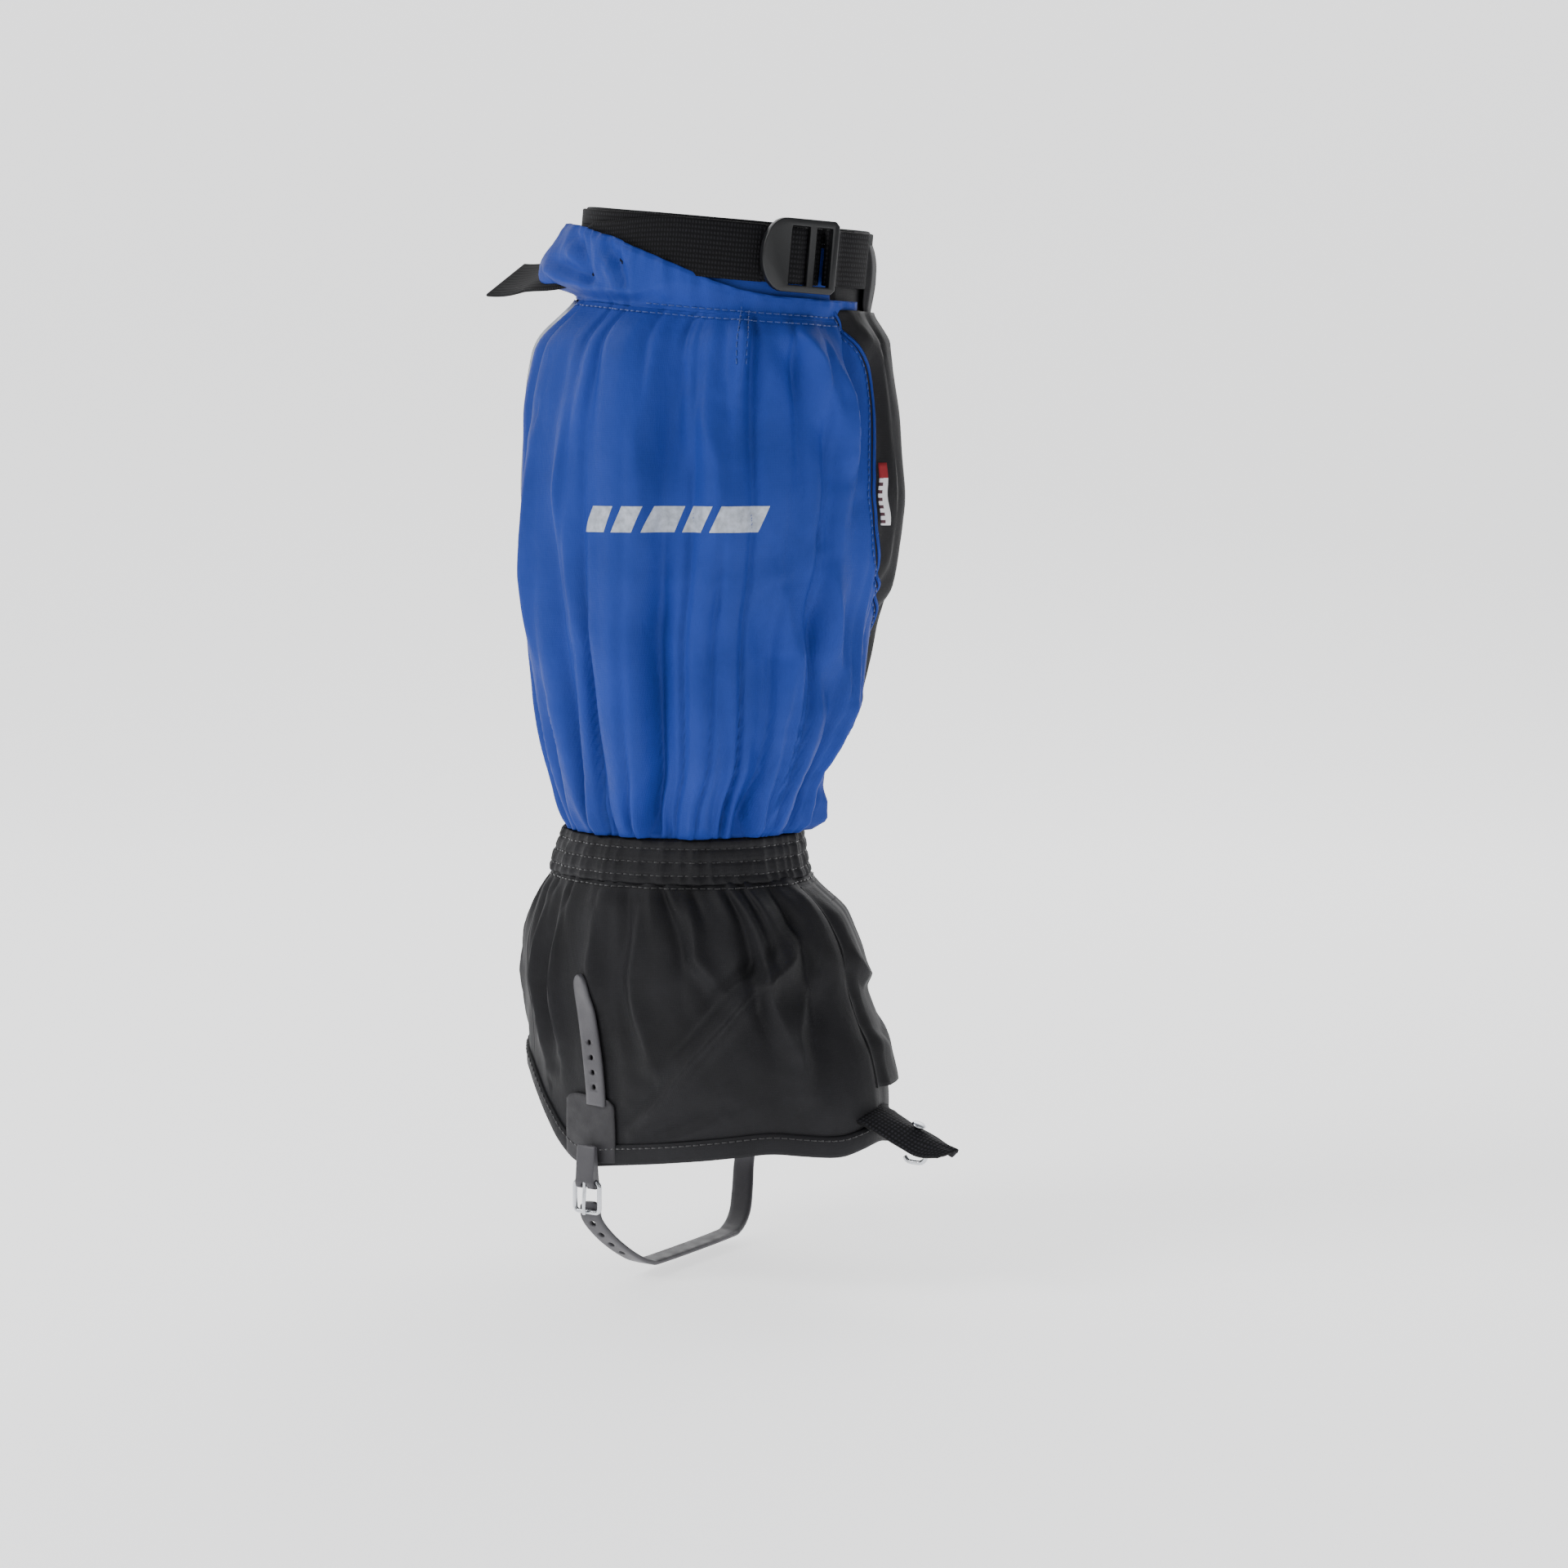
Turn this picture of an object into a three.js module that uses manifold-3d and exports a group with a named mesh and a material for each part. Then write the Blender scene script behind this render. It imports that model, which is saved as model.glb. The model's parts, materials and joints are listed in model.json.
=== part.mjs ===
// A knee-high gaiter for the right leg, closed round an absent leg and boot.
// Millimetres, +Z up, +X towards the toe, -Y the outer side of the leg.
// The origin is on the leg's axis at the height of the ankle gather.
import * as THREE from "three";
import { mergeVertices } from "three/addons/utils/BufferGeometryUtils.js";
import Module from "manifold-3d";

// Rim and top strap
const rimRadius = 64; // outer face of the fabric at the top edge
const rimHeight = 281; // height of the rim's centre
const rimForward = 26; // the rim's centre is this far in front of the ankle's
const rimTilt = THREE.MathUtils.degToRad(6); // the rim leans forward
const rimBindingHeight = 9;
const strapWidth = 25;
const webbingThick = 1.5;
const strapCuff = 41; // height of the straight band of fabric under the strap
const tailLength = 84; // free end of the strap, past its last contact
const tailDroop = 22;
const tailTwist = THREE.MathUtils.degToRad(55);

// Leg sections: height, centre in X, half length in X, half width in Y
const legSections = [
  [-160, 20, 97, 62],
  [-130, 14, 94, 62],
  [-97, 10, 90, 62],
  [-70, 3, 84, 60],
  [-51, 3, 82, 59],
  [-32, 1, 73, 57],
  [-17, -3, 61, 54],
  [2, 0, 56, 50],
  [15, 0, 59, 53],
  [32, 5, 68, 61],
  [55, 6, 73, 67],
  [97, 6, 78, 73],
  [119, 9, 82, 77],
  [157, 11, 85, 80],
  [195, 12, 82, 78],
  [228, 14, 76, 74],
];

// Fabric, tapes and gaps
const panelWall = 1.4;
const tapeThick = 1;
const gap = 0.4; // clearance between pieces that touch
const columnStep = 7.5; // degrees between the columns of every curved sheet
const ankleTop = 1;
const ankleBottom = -19;
const elasticWidth = 14;
const hemHeight = 8;
// Height of the skirt's bottom edge by the angle from the toe, either side
const hemHeights = [
  [0, -136],
  [20, -141],
  [45, -137],
  [90, -147],
  [110, -152],
  [130, -138],
  [150, -122],
  [180, -116],
];

// Front closure, in degrees from the toe
const frontSeam = 0;
const closureGap = 4;
const upperFlapEnd = 36;
const lowerFlapEnd = 30;
const tapeMargin = 5;
const upperFlapLow = 26;
const lowerFlapHigh = -24;
const lowerFlapLow = -112; // the tongue begins below it

// Instep strap and its buckle
const strapForward = -9; // X of the strap at its anchors
const instepWidth = 11;
const instepThick = 2.2;
const instepDrop = 200; // depth of the strap under the arch
const archForward = 2; // X of the strap under the arch
const anchorHeight = -146;
const holeRadius = 1.6;
const holePitch = 11;
const wireRadius = 1.1;
const buckleWidth = 16;
const buckleHeight = 14;

// Ladder lock
const lockLength = 37;
const lockWidth = 32;
const lockThick = 3.6;
const lockAngle = -29;
const lockEdge = 3.2; // width of its rails and bars

const part = new THREE.Group();
const wasm = await Module();
wasm.setup();

function look(color, roughness, metalness = 0) {
  return new THREE.MeshStandardMaterial({ color, roughness, metalness });
}

const blueNylon = () => look(0x2c52a4, 0.5);
const blackNylon = () => look(0x1f1f21, 0.75);
const blackWebbing = () => look(0x19191b, 0.8);
const greyRubber = () => look(0x57565a, 0.55);
const blackPlastic = () => look(0x1c1c1e, 0.35);
const brightSteel = () => look(0xc9cbce, 0.25, 1);

function addPiece(name, geometry, material, parent = part) {
  const mesh = new THREE.Mesh(geometry, material);
  mesh.name = name;
  parent.add(mesh);
  return mesh;
}

// Straight-line value between the rows of a short table
function between(table, key) {
  const last = table.length - 1;
  if (key <= table[0][0]) return table[0].slice(1);
  if (key >= table[last][0]) return table[last].slice(1);
  const i = table.findIndex((row) => row[0] > key);
  const share = (key - table[i - 1][0]) / (table[i][0] - table[i - 1][0]);
  return table[i]
    .slice(1)
    .map((value, k) => THREE.MathUtils.lerp(table[i - 1][k + 1], value, share));
}

// The straight cuff under the strap, as sections of the leaning cylinder
function cuffSection(z) {
  const centre = rimForward + (z - rimHeight) * Math.tan(rimTilt);
  return [z, centre, rimRadius / Math.cos(rimTilt), rimRadius];
}

const cuffLow = rimHeight - strapCuff;
const sections = [
  ...legSections,
  cuffSection(cuffLow),
  cuffSection(rimHeight + rimRadius),
];

// A point on the leg surface, moved outwards by out
function legPoint(angle, z, out) {
  const [centre, halfLength, halfWidth] = between(sections, z);
  const turn = THREE.MathUtils.degToRad(angle);
  const normal = new THREE.Vector2(
    Math.cos(turn) / halfLength,
    Math.sin(turn) / halfWidth,
  ).setLength(out || 1e-9);
  const sign = out < 0 ? -1 : 1;
  return new THREE.Vector3(
    centre + halfLength * Math.cos(turn) + sign * Math.abs(normal.x) * Math.sign(Math.cos(turn)),
    halfWidth * Math.sin(turn) + sign * Math.abs(normal.y) * Math.sign(Math.sin(turn)),
    z,
  );
}

// A point on the rim's cylinder: height is measured down its leaning axis
function rimPoint(angle, height, out) {
  const turn = THREE.MathUtils.degToRad(angle);
  const radius = rimRadius + out;
  const spot = new THREE.Vector3(
    radius * Math.cos(turn),
    radius * Math.sin(turn),
    height,
  );
  return rimPlace(spot);
}

function rimPlace(spot) {
  return spot
    .applyAxisAngle(new THREE.Vector3(0, 1, 0), rimTilt)
    .add(new THREE.Vector3(rimForward, 0, rimHeight));
}

function rimEdge(height) {
  return (angle) => rimPoint(angle, height, 0).z;
}

function hemEdge(above = 0) {
  return (angle) => {
    const fromToe = Math.abs(((angle + 540) % 360) - 180);
    return between(hemHeights, fromToe)[0] + above;
  };
}

// Angles on the shared columns, with the two ends as they are
function columnsOf(from, to) {
  const list = [from];
  for (let k = Math.floor(from / columnStep) + 1; k * columnStep < to - 0.5; k++) {
    if (k * columnStep > from + 0.5) list.push(k * columnStep);
  }
  if (to - from < 359) list.push(to);
  return list;
}

// A closed sheet: outer and inner faces on a grid of columns and rows
function sheetGeometry(columns, rows, closed, place) {
  const points = [];
  for (const side of [1, 0]) {
    for (let i = 0; i < columns; i++) {
      for (let j = 0; j < rows; j++) points.push(place(i, j, side));
    }
  }
  const at = (i, j, side) => (1 - side) * columns * rows + (i % columns) * rows + j;
  const index = [];
  const face = (a, b, c, d) => index.push(a, b, c, a, c, d);
  const spans = closed ? columns : columns - 1;
  for (let i = 0; i < spans; i++) {
    for (let j = 0; j < rows - 1; j++) {
      face(at(i, j, 1), at(i + 1, j, 1), at(i + 1, j + 1, 1), at(i, j + 1, 1));
      face(at(i, j, 0), at(i, j + 1, 0), at(i + 1, j + 1, 0), at(i + 1, j, 0));
    }
    const top = rows - 1;
    face(at(i, 0, 1), at(i, 0, 0), at(i + 1, 0, 0), at(i + 1, 0, 1));
    face(at(i, top, 1), at(i + 1, top, 1), at(i + 1, top, 0), at(i, top, 0));
  }
  if (!closed) {
    const end = columns - 1;
    for (let j = 0; j < rows - 1; j++) {
      face(at(0, j, 1), at(0, j + 1, 1), at(0, j + 1, 0), at(0, j, 0));
      face(at(end, j, 1), at(end, j, 0), at(end, j + 1, 0), at(end, j + 1, 1));
    }
  }
  const geometry = new THREE.BufferGeometry();
  const flat = points.flatMap((spot) => [spot.x, spot.y, spot.z]);
  geometry.setAttribute("position", new THREE.Float32BufferAttribute(flat, 3));
  geometry.setIndex(index);
  return geometry;
}

// A piece of cloth lying on the leg surface between two angles and two edges
function legSheet({ from, to, low, high, out = 0, wall = panelWall }) {
  const angles = columnsOf(from, to);
  const lowAt = typeof low === "function" ? low : () => low;
  const highAt = typeof high === "function" ? high : () => high;
  const floor = Math.max(...angles.map(lowAt)) + 1;
  const ceiling = Math.min(...angles.map(highAt)) - 1;
  const middle = sections.map((row) => row[0]).filter((z) => z > floor && z < ceiling);
  const rows = middle.length + 2;
  const place = (i, j, side) => {
    let z = middle[j - 1];
    if (j === 0) z = lowAt(angles[i]);
    if (j === rows - 1) z = highAt(angles[i]);
    return legPoint(angles[i], z, out + (side - 1) * wall);
  };
  return sheetGeometry(angles.length, rows, to - from > 359, place);
}

// A band on the rim's cylinder
function rimSheet({ from, to, low, high, out = 0, wall = webbingThick }) {
  const angles = columnsOf(from, to);
  const place = (i, j, side) => {
    const height = j === 0 ? low : high;
    return rimPoint(angles[i], height, out + (side - 1) * wall);
  };
  return sheetGeometry(angles.length, 2, to - from > 359, place);
}

function toSolid(geometry) {
  const bare = geometry.clone();
  bare.deleteAttribute("normal");
  bare.deleteAttribute("uv");
  const merged = mergeVertices(bare, 1e-4);
  return new wasm.Manifold(
    new wasm.Mesh({
      numProp: 3,
      vertProperties: new Float32Array(merged.attributes.position.array),
      triVerts: new Uint32Array(merged.index.array),
    }),
  );
}

function fromSolid(solid) {
  const mesh = solid.getMesh();
  const geometry = new THREE.BufferGeometry();
  geometry.setAttribute("position", new THREE.BufferAttribute(mesh.vertProperties, 3));
  geometry.setIndex(new THREE.BufferAttribute(mesh.triVerts, 1));
  return geometry;
}

function joined(geometries) {
  return fromSolid(geometries.map(toSolid).reduce((a, b) => a.add(b)));
}

function withHoles(geometry, cutters) {
  return fromSolid(cutters.map(toSolid).reduce((a, b) => a.subtract(b), toSolid(geometry)));
}

// A round bar from one point to another
function bar(from, to, radius, sides = 10) {
  const length = from.distanceTo(to);
  const geometry = new THREE.CylinderGeometry(radius, radius, length, sides);
  geometry.applyQuaternion(
    new THREE.Quaternion().setFromUnitVectors(
      new THREE.Vector3(0, 1, 0),
      to.clone().sub(from).normalize(),
    ),
  );
  const centre = from.clone().add(to).multiplyScalar(0.5);
  return geometry.translate(centre.x, centre.y, centre.z);
}

const point = (x, y, z) => new THREE.Vector3(x, y, z);

// ---- upper ----
const backSeam = 221; // the outer panel stops short of the heel line, seen from the toe
const seamRoom = 0.6;
const stackFirst = gap + tapeThick; // loop tape on the panel
const stackSecond = stackFirst + gap + tapeThick; // hook tape under the flap
const stackFlap = stackSecond + gap + panelWall; // the flap itself

function addUpper() {
  const top = rimEdge(-rimBindingHeight - gap);
  const low = ankleTop + gap;
  const outer = { from: backSeam - 360 + seamRoom, to: frontSeam, low, high: top };
  addPiece("upper_outer_panel", legSheet(outer), blueNylon());
  const inner = { from: frontSeam + closureGap, to: backSeam, low, high: top };
  addPiece("upper_inner_panel", legSheet(inner), blackNylon());
  const seam = { from: backSeam - 3, to: backSeam + 4, low: low + 4, high: cuffLow - 2 };
  addPiece("back_seam_tape", legSheet({ ...seam, out: gap + 0.8, wall: 0.8 }), look(0x8d97a8, 0.6));
  const piping = { from: frontSeam - 2.5, to: frontSeam - 0.3, low: upperFlapLow, high: cuffLow - 4 };
  addPiece("front_seam_piping", legSheet({ ...piping, out: gap + 1.6, wall: 1.6 }), look(0xb9bec8, 0.6));
}

// ---- rim, top strap and its tail ----
const strapHigh = -1;
const strapLow = strapHigh - strapWidth;
const strapOut = gap + webbingThick;
const tailOut = strapOut + 0.6 + webbingThick;
const tunnelOut = tailOut + 3.6;
const casingOut = strapOut + 0.8 + panelWall;
const tunnelFrom = -129;
const tunnelTo = -93;
const tailLeaves = -116;
const tunnelRoom = 8; // degrees between the tunnel's end and the casing, where the tail comes out
const tailStarts = -37;

function addRim() {
  const binding = { from: 0, to: 360, low: -rimBindingHeight, high: 0, out: 0.3, wall: 2.1 };
  addPiece("rim_binding", rimSheet(binding), blackWebbing());
  const strap = { from: 2, to: 312, low: strapLow, high: strapHigh, out: strapOut };
  addPiece("top_strap", rimSheet(strap), blackWebbing());
  const anchor = { from: -15, to: 13, low: strapLow, high: strapHigh, out: tailOut + 0.2 };
  addPiece("buckle_anchor_webbing", rimSheet(anchor), blackWebbing());
  const casingLow = gap - strapCuff + 3;
  const casing = { from: 20, to: 360 + tunnelFrom - tunnelRoom, low: casingLow, high: strapHigh + 1 };
  addPiece("strap_casing", rimSheet({ ...casing, out: casingOut, wall: panelWall }), blackNylon());
  const tunnel = { from: tunnelFrom, to: tunnelTo, low: casingLow, high: strapHigh - 1 };
  addPiece("strap_tunnel", rimSheet({ ...tunnel, out: tunnelOut, wall: panelWall }), blueNylon());
  addPiece("top_strap_tail", tailGeometry(), blackWebbing());
}

// The tail follows the rim, then leaves it straight, drooping and turning over
function tailGeometry() {
  const arc = columnsOf(tailLeaves, tailStarts).reverse();
  const freeSteps = 9;
  const place = (i, j, side) => {
    const across = (j - 0.5) * strapWidth;
    const depth = (side - 1) * webbingThick;
    if (i < arc.length) {
      return rimPoint(arc[i], (strapLow + strapHigh) / 2 + across, tailOut + depth);
    }
    const share = (i - arc.length + 1) / freeSteps;
    const turn = THREE.MathUtils.degToRad(tailLeaves);
    const roll = tailTwist * Math.max(0, share - 0.25) / 0.75;
    const radial = point(Math.cos(turn), Math.sin(turn), 0);
    const along = point(Math.sin(turn), -Math.cos(turn), 0);
    const up = point(0, 0, 1).multiplyScalar(Math.cos(roll)).addScaledVector(radial, -Math.sin(roll));
    const face = radial.clone().multiplyScalar(Math.cos(roll)).addScaledVector(point(0, 0, 1), Math.sin(roll));
    const spot = radial
      .clone()
      .multiplyScalar(rimRadius + tailOut)
      .addScaledVector(along, share * tailLength)
      .add(point(0, 0, (strapLow + strapHigh) / 2 - tailDroop * share * share))
      .addScaledVector(up, across)
      .addScaledVector(face, depth);
    return rimPlace(spot);
  };
  // Columns run clockwise, so the faces are turned by swapping the two sides of the grid
  const count = arc.length + freeSteps;
  return sheetGeometry(count, 2, false, (i, j, side) => place(count - 1 - i, j, side));
}

// Ladder lock: a flat frame with two windows and a thumb tab
function addLadderLock() {
  const half = lockLength / 2;
  const side = lockWidth / 2;
  const outline = new THREE.Shape();
  outline.moveTo(half, -side + 2);
  outline.lineTo(half, side - 2);
  outline.lineTo(half - 2, side);
  outline.absellipse(-half + side * 0.7, 0, side * 0.7, side, Math.PI / 2, (3 * Math.PI) / 2);
  outline.lineTo(half - 2, -side);
  const inner = side - lockEdge;
  const windows = [
    [half - lockEdge, half - lockEdge - 8],
    [half - 2 * lockEdge - 8, half - 2 * lockEdge - 17],
  ];
  const plate = new THREE.ExtrudeGeometry(outline, {
    depth: lockThick,
    bevelEnabled: false,
    curveSegments: 10,
  });
  const cutters = windows.map(([right, left]) =>
    new THREE.BoxGeometry(right - left, 2 * inner, 4 * lockThick).translate((right + left) / 2, 0, 0),
  );
  const geometry = withHoles(plate, cutters);
  // Shape X becomes the way along the strap, shape Y the strap's width, depth the way out
  const turn = THREE.MathUtils.degToRad(lockAngle);
  const along = point(-Math.sin(turn), Math.cos(turn), 0);
  const out = point(Math.cos(turn), Math.sin(turn), 0);
  const basis = new THREE.Matrix4().makeBasis(along, point(0, 0, 1), out);
  geometry.applyMatrix4(basis);
  const spot = out.multiplyScalar(rimRadius + tailOut + gap + 0.4);
  geometry.translate(spot.x, spot.y, (strapLow + strapHigh) / 2);
  geometry.applyMatrix4(new THREE.Matrix4().makeRotationY(rimTilt));
  geometry.translate(rimForward, 0, rimHeight);
  addPiece("ladder_lock_buckle", geometry, blackPlastic());
}

// ---- front closure ----
const studAngle = 2.5 * columnStep; // the middle of a flat facet
const studHeight = cuffLow - 28;

function addClosure() {
  // The rim's tilt brings the casing's lower edge down at the front
  const frontDip = (rimRadius + casingOut) * Math.sin(rimTilt);
  const flapHigh = cuffLow + 2.4 - frontDip;
  const tapes = [
    ["upper", upperFlapLow, flapHigh, upperFlapEnd, studHeight - 9],
    ["lower", lowerFlapLow, lowerFlapHigh, lowerFlapEnd, lowerFlapHigh - 6],
  ];
  for (const [name, low, high, end, tapeHigh] of tapes) {
    const flap = { from: frontSeam + 0.8, to: end, low, high, out: stackFlap };
    addPiece(`front_flap_${name}`, legSheet(flap), blackNylon());
    const tape = { from: closureGap + tapeMargin, to: end - tapeMargin, low: low + 6, high: tapeHigh };
    const hook = { ...tape, out: stackSecond, wall: tapeThick };
    addPiece(`hook_tape_${name}`, legSheet(hook), look(0x2a2a2c, 0.95));
    const loop = { ...tape, out: stackFirst, wall: tapeThick };
    addPiece(`loop_tape_${name}`, legSheet(loop), look(0x242426, 0.98));
  }
}

// Press stud at the top of the flap, on the panel's outward direction
function addStud() {
  const base = legPoint(studAngle, studHeight, -0.15);
  const around = legPoint(studAngle + 1, studHeight, 0).sub(legPoint(studAngle - 1, studHeight, 0));
  const up = legPoint(studAngle, studHeight + 1, 0).sub(legPoint(studAngle, studHeight - 1, 0));
  const out = around.cross(up).normalize();
  const reach = (from, to, radius) =>
    bar(base.clone().addScaledVector(out, from), base.clone().addScaledVector(out, to), radius, 16);
  const inside = -panelWall - gap;
  addPiece("stud_post", reach(inside - 1, inside, 5), brightSteel());
  addPiece("stud_ball", reach(gap, gap + 0.8, 5), brightSteel());
  const below = stackFlap - panelWall - gap;
  addPiece("stud_socket", reach(gap + 0.8 + gap, below, 5.5), brightSteel());
  addPiece("stud_cap", reach(stackFlap + gap, stackFlap + gap + 1.6, 6), blackPlastic());
}

// A folded label standing out of the front seam
function addLabel() {
  const size = { high: 28, wide: 8, thick: 0.8 };
  const middle = 157;
  const foot = legPoint(frontSeam, middle, stackFlap + gap + 1.2);
  const geometry = new THREE.BoxGeometry(size.thick, size.wide, size.high);
  geometry.rotateZ(THREE.MathUtils.degToRad(8));
  addPiece("woven_label", geometry.translate(foot.x, foot.y + size.wide / 2, foot.z), look(0xd8d8dc, 0.8));
}

// ---- ankle ----
function addAnkle() {
  const casing = { from: 0, to: 360, low: ankleBottom, high: ankleTop };
  addPiece("ankle_casing", legSheet(casing), blackNylon());
  const middle = (ankleTop + ankleBottom) / 2;
  const elastic = {
    from: 0,
    to: 360,
    low: middle - elasticWidth / 2,
    high: middle + elasticWidth / 2,
    out: -panelWall - gap,
    wall: 1,
  };
  addPiece("ankle_elastic", legSheet(elastic), look(0x1a1a1c, 0.9));
}

// ---- skirt ----
function addSkirt() {
  const high = ankleBottom - gap;
  const low = hemEdge(hemHeight + gap);
  const outer = { from: backSeam - 360 + seamRoom, to: frontSeam, low, high };
  addPiece("skirt_outer_panel", legSheet(outer), blackNylon());
  const inner = { from: frontSeam + seamRoom, to: backSeam, low, high };
  addPiece("skirt_inner_panel", legSheet(inner), blackNylon());
  const hem = { from: 0, to: 360, low: hemEdge(), high: hemEdge(hemHeight), out: 0.2, wall: 1.9 };
  addPiece("bottom_hem", legSheet(hem), blackNylon());
}

// The pointed tongue that covers the laces, with the hook below its tip
const tongueLength = 50;
const tongueHalf = 26;
const tongueTip = 6;
const tongueSlope = THREE.MathUtils.degToRad(22);
const tongueThick = 1.6;
const tongueStart = legPoint(0, hemHeights[0][1] + 12, 1.4);

function tonguePlace(geometry) {
  geometry.rotateY(tongueSlope);
  return geometry.translate(tongueStart.x - 14, 0, tongueStart.z + 8);
}

function addTongue() {
  const outline = new THREE.Shape();
  const start = 17; // clear of the hem's front
  const bow = 8; // the base follows the skirt's rounded front
  const halfAt = (x) => tongueHalf * (1 - x / tongueLength) + tongueTip;
  outline.moveTo(start - bow, -halfAt(start));
  outline.lineTo(start, -halfAt(start));
  outline.absarc(tongueLength, 0, tongueTip, -Math.PI / 2, Math.PI / 2);
  outline.lineTo(start, halfAt(start));
  outline.lineTo(start - bow, halfAt(start));
  outline.quadraticCurveTo(start + bow, 0, start - bow, -halfAt(start));
  const geometry = new THREE.ExtrudeGeometry(outline, {
    depth: tongueThick,
    bevelEnabled: false,
    curveSegments: 6,
  });
  addPiece("front_tongue", tonguePlace(geometry), blackNylon());
}

// Lace hook: a wire J in a folded tab under the tongue
function addLaceHook() {
  const wide = 10;
  const reach = 38;
  const tab = new THREE.BoxGeometry(12, wide, 1.4);
  addPiece("lace_hook_tab", tonguePlace(tab.translate(reach, 0, -gap - 0.9)), blackWebbing());
  const rivet = bar(point(reach - 2, 0, tongueThick + gap), point(reach - 2, 0, tongueThick + gap + 1), 3.2, 14);
  addPiece("lace_hook_rivet", tonguePlace(rivet), brightSteel());
  const low = -gap - 2 - wireRadius;
  const drop = 9;
  const corners = [
    point(reach - 6, 0, low),
    point(reach + 5, 0, low),
    point(reach + 5, 0, low - drop),
    point(reach - 4, 0, low - drop - 1),
  ];
  const wires = corners.slice(1).map((corner, k) => bar(corners[k], corner, wireRadius));
  wires.push(...corners.slice(1, 3).map((corner) => new THREE.SphereGeometry(wireRadius, 10, 6).translate(...corner)));
  addPiece("lace_hook", tonguePlace(joined(wires)), brightSteel());
}

// ---- instep strap ----
const patchOut = 1.6 + gap; // outer face of the patches from the skirt
const patchHalf = 10.5;
const patchHigh = -118;
const sideFace = legSections[1][3]; // half width of the skirt where the strap hangs
const loopFace = sideFace + patchOut + gap; // inner face of the strap ends

function sideAngle(x, z) {
  const [centre, halfLength] = between(sections, z);
  return THREE.MathUtils.radToDeg(Math.acos((x - centre) / halfLength));
}

function addPatches() {
  for (const [name, side] of [["outer_patch", -1], ["inner_patch", 1]]) {
    const edges = [strapForward - patchHalf, strapForward + patchHalf].map((x) => side * sideAngle(x, patchHigh));
    const sheet = {
      from: Math.min(...edges),
      to: Math.max(...edges),
      low: anchorHeight - 3,
      high: patchHigh,
      out: patchOut,
      wall: patchOut - gap,
    };
    addPiece(name, legSheet(sheet), look(0x2e2d33, 0.6));
  }
}

// The strap's free end, pointing up above the patch
function addStrapEnd() {
  const high = -62;
  const middle = sideAngle(strapForward, -90);
  const half = THREE.MathUtils.radToDeg(instepWidth / 2 / legSections[2][2]);
  const sheet = {
    from: -middle - half,
    to: -middle + half,
    low: patchHigh + gap,
    high,
    out: gap + instepThick,
    wall: instepThick,
  };
  addPiece("instep_strap_end", legSheet(sheet), greyRubber());
}

// A flat strap swept along points in a plane that leans with them
function strapGeometry(path, width) {
  const place = (i, j, side) => {
    const before = path[Math.max(i - 1, 0)];
    const after = path[Math.min(i + 1, path.length - 1)];
    const along = after.clone().sub(before).normalize();
    const across = point(1, 0, 0).addScaledVector(along, -along.x).normalize();
    const out = across.clone().cross(along).normalize();
    return path[i]
      .clone()
      .addScaledVector(across, (0.5 - j) * width)
      .addScaledVector(out, (side - 0.5) * instepThick);
  };
  return sheetGeometry(path.length, 2, false, place);
}

const bucklePivot = point(strapForward, -loopFace - instepThick / 2, anchorHeight);
const buckleTop = anchorHeight - 11;
const buckleLow = buckleTop - buckleHeight;

function instepPath() {
  const face = loopFace + instepThick / 2;
  const behindWire = wireRadius + gap + instepThick / 2;
  const outerSide = [
    point(strapForward, -face + behindWire, buckleLow + 4),
    point(strapForward + 1, -face + behindWire, buckleLow - 4),
    point(strapForward + 5, -face + 11, buckleLow - 14),
    point(archForward - 1, -face + 20, -instepDrop + 6),
    point(archForward, -face + 29, -instepDrop + 1),
    point(archForward, -face + 38, -instepDrop),
  ];
  const innerSide = [
    point(archForward, face - 38, -instepDrop),
    point(archForward, face - 29, -instepDrop + 1),
    point(archForward - 1, face - 20, -instepDrop + 6),
    point(strapForward + 5, face - 11, buckleLow - 14),
    point(strapForward + 1, face - 2, buckleLow - 4),
    point(strapForward, face, buckleLow + 3.2),
    point(strapForward, face, anchorHeight - 5),
    point(strapForward, face, anchorHeight + 5),
  ];
  return [...outerSide, ...innerSide];
}

function addInstepStrap() {
  const path = instepPath();
  const holes = [0, 1, 2].map((k) => {
    const start = path[1].clone().lerp(path[2], 0.35);
    const along = path[2].clone().sub(path[1]).normalize();
    const across = point(1, 0, 0).addScaledVector(along, -along.x).normalize();
    const out = across.cross(along).normalize().multiplyScalar(8);
    const centre = start.addScaledVector(along, (k - 0.4) * holePitch * 0.62);
    return bar(centre.clone().sub(out), centre.clone().add(out), holeRadius, 12);
  });
  const face = path[path.length - 1];
  const rivetHole = bar(point(face.x, face.y - 4, anchorHeight), point(face.x, face.y + 4, anchorHeight), 2.4, 12);
  const strap = strapGeometry(path, instepWidth);
  addPiece("instep_strap", withHoles(strap, [...holes.slice(1), rivetHole]), greyRubber());
}

// Rivet through the inner patch: the strap turns on its shank
function addRivet() {
  const strapFace = loopFace + instepThick;
  const patchFace = legPoint(sideAngle(strapForward, anchorHeight), anchorHeight, patchOut).y;
  const along = (y) => point(strapForward, y, anchorHeight);
  const shank = bar(along(patchFace + gap), along(strapFace + 1), 2, 12);
  const head = bar(along(strapFace + gap), along(strapFace + gap + 1.4), 4.2, 16);
  addPiece("instep_rivet", joined([shank, head]), brightSteel());
}

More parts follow.
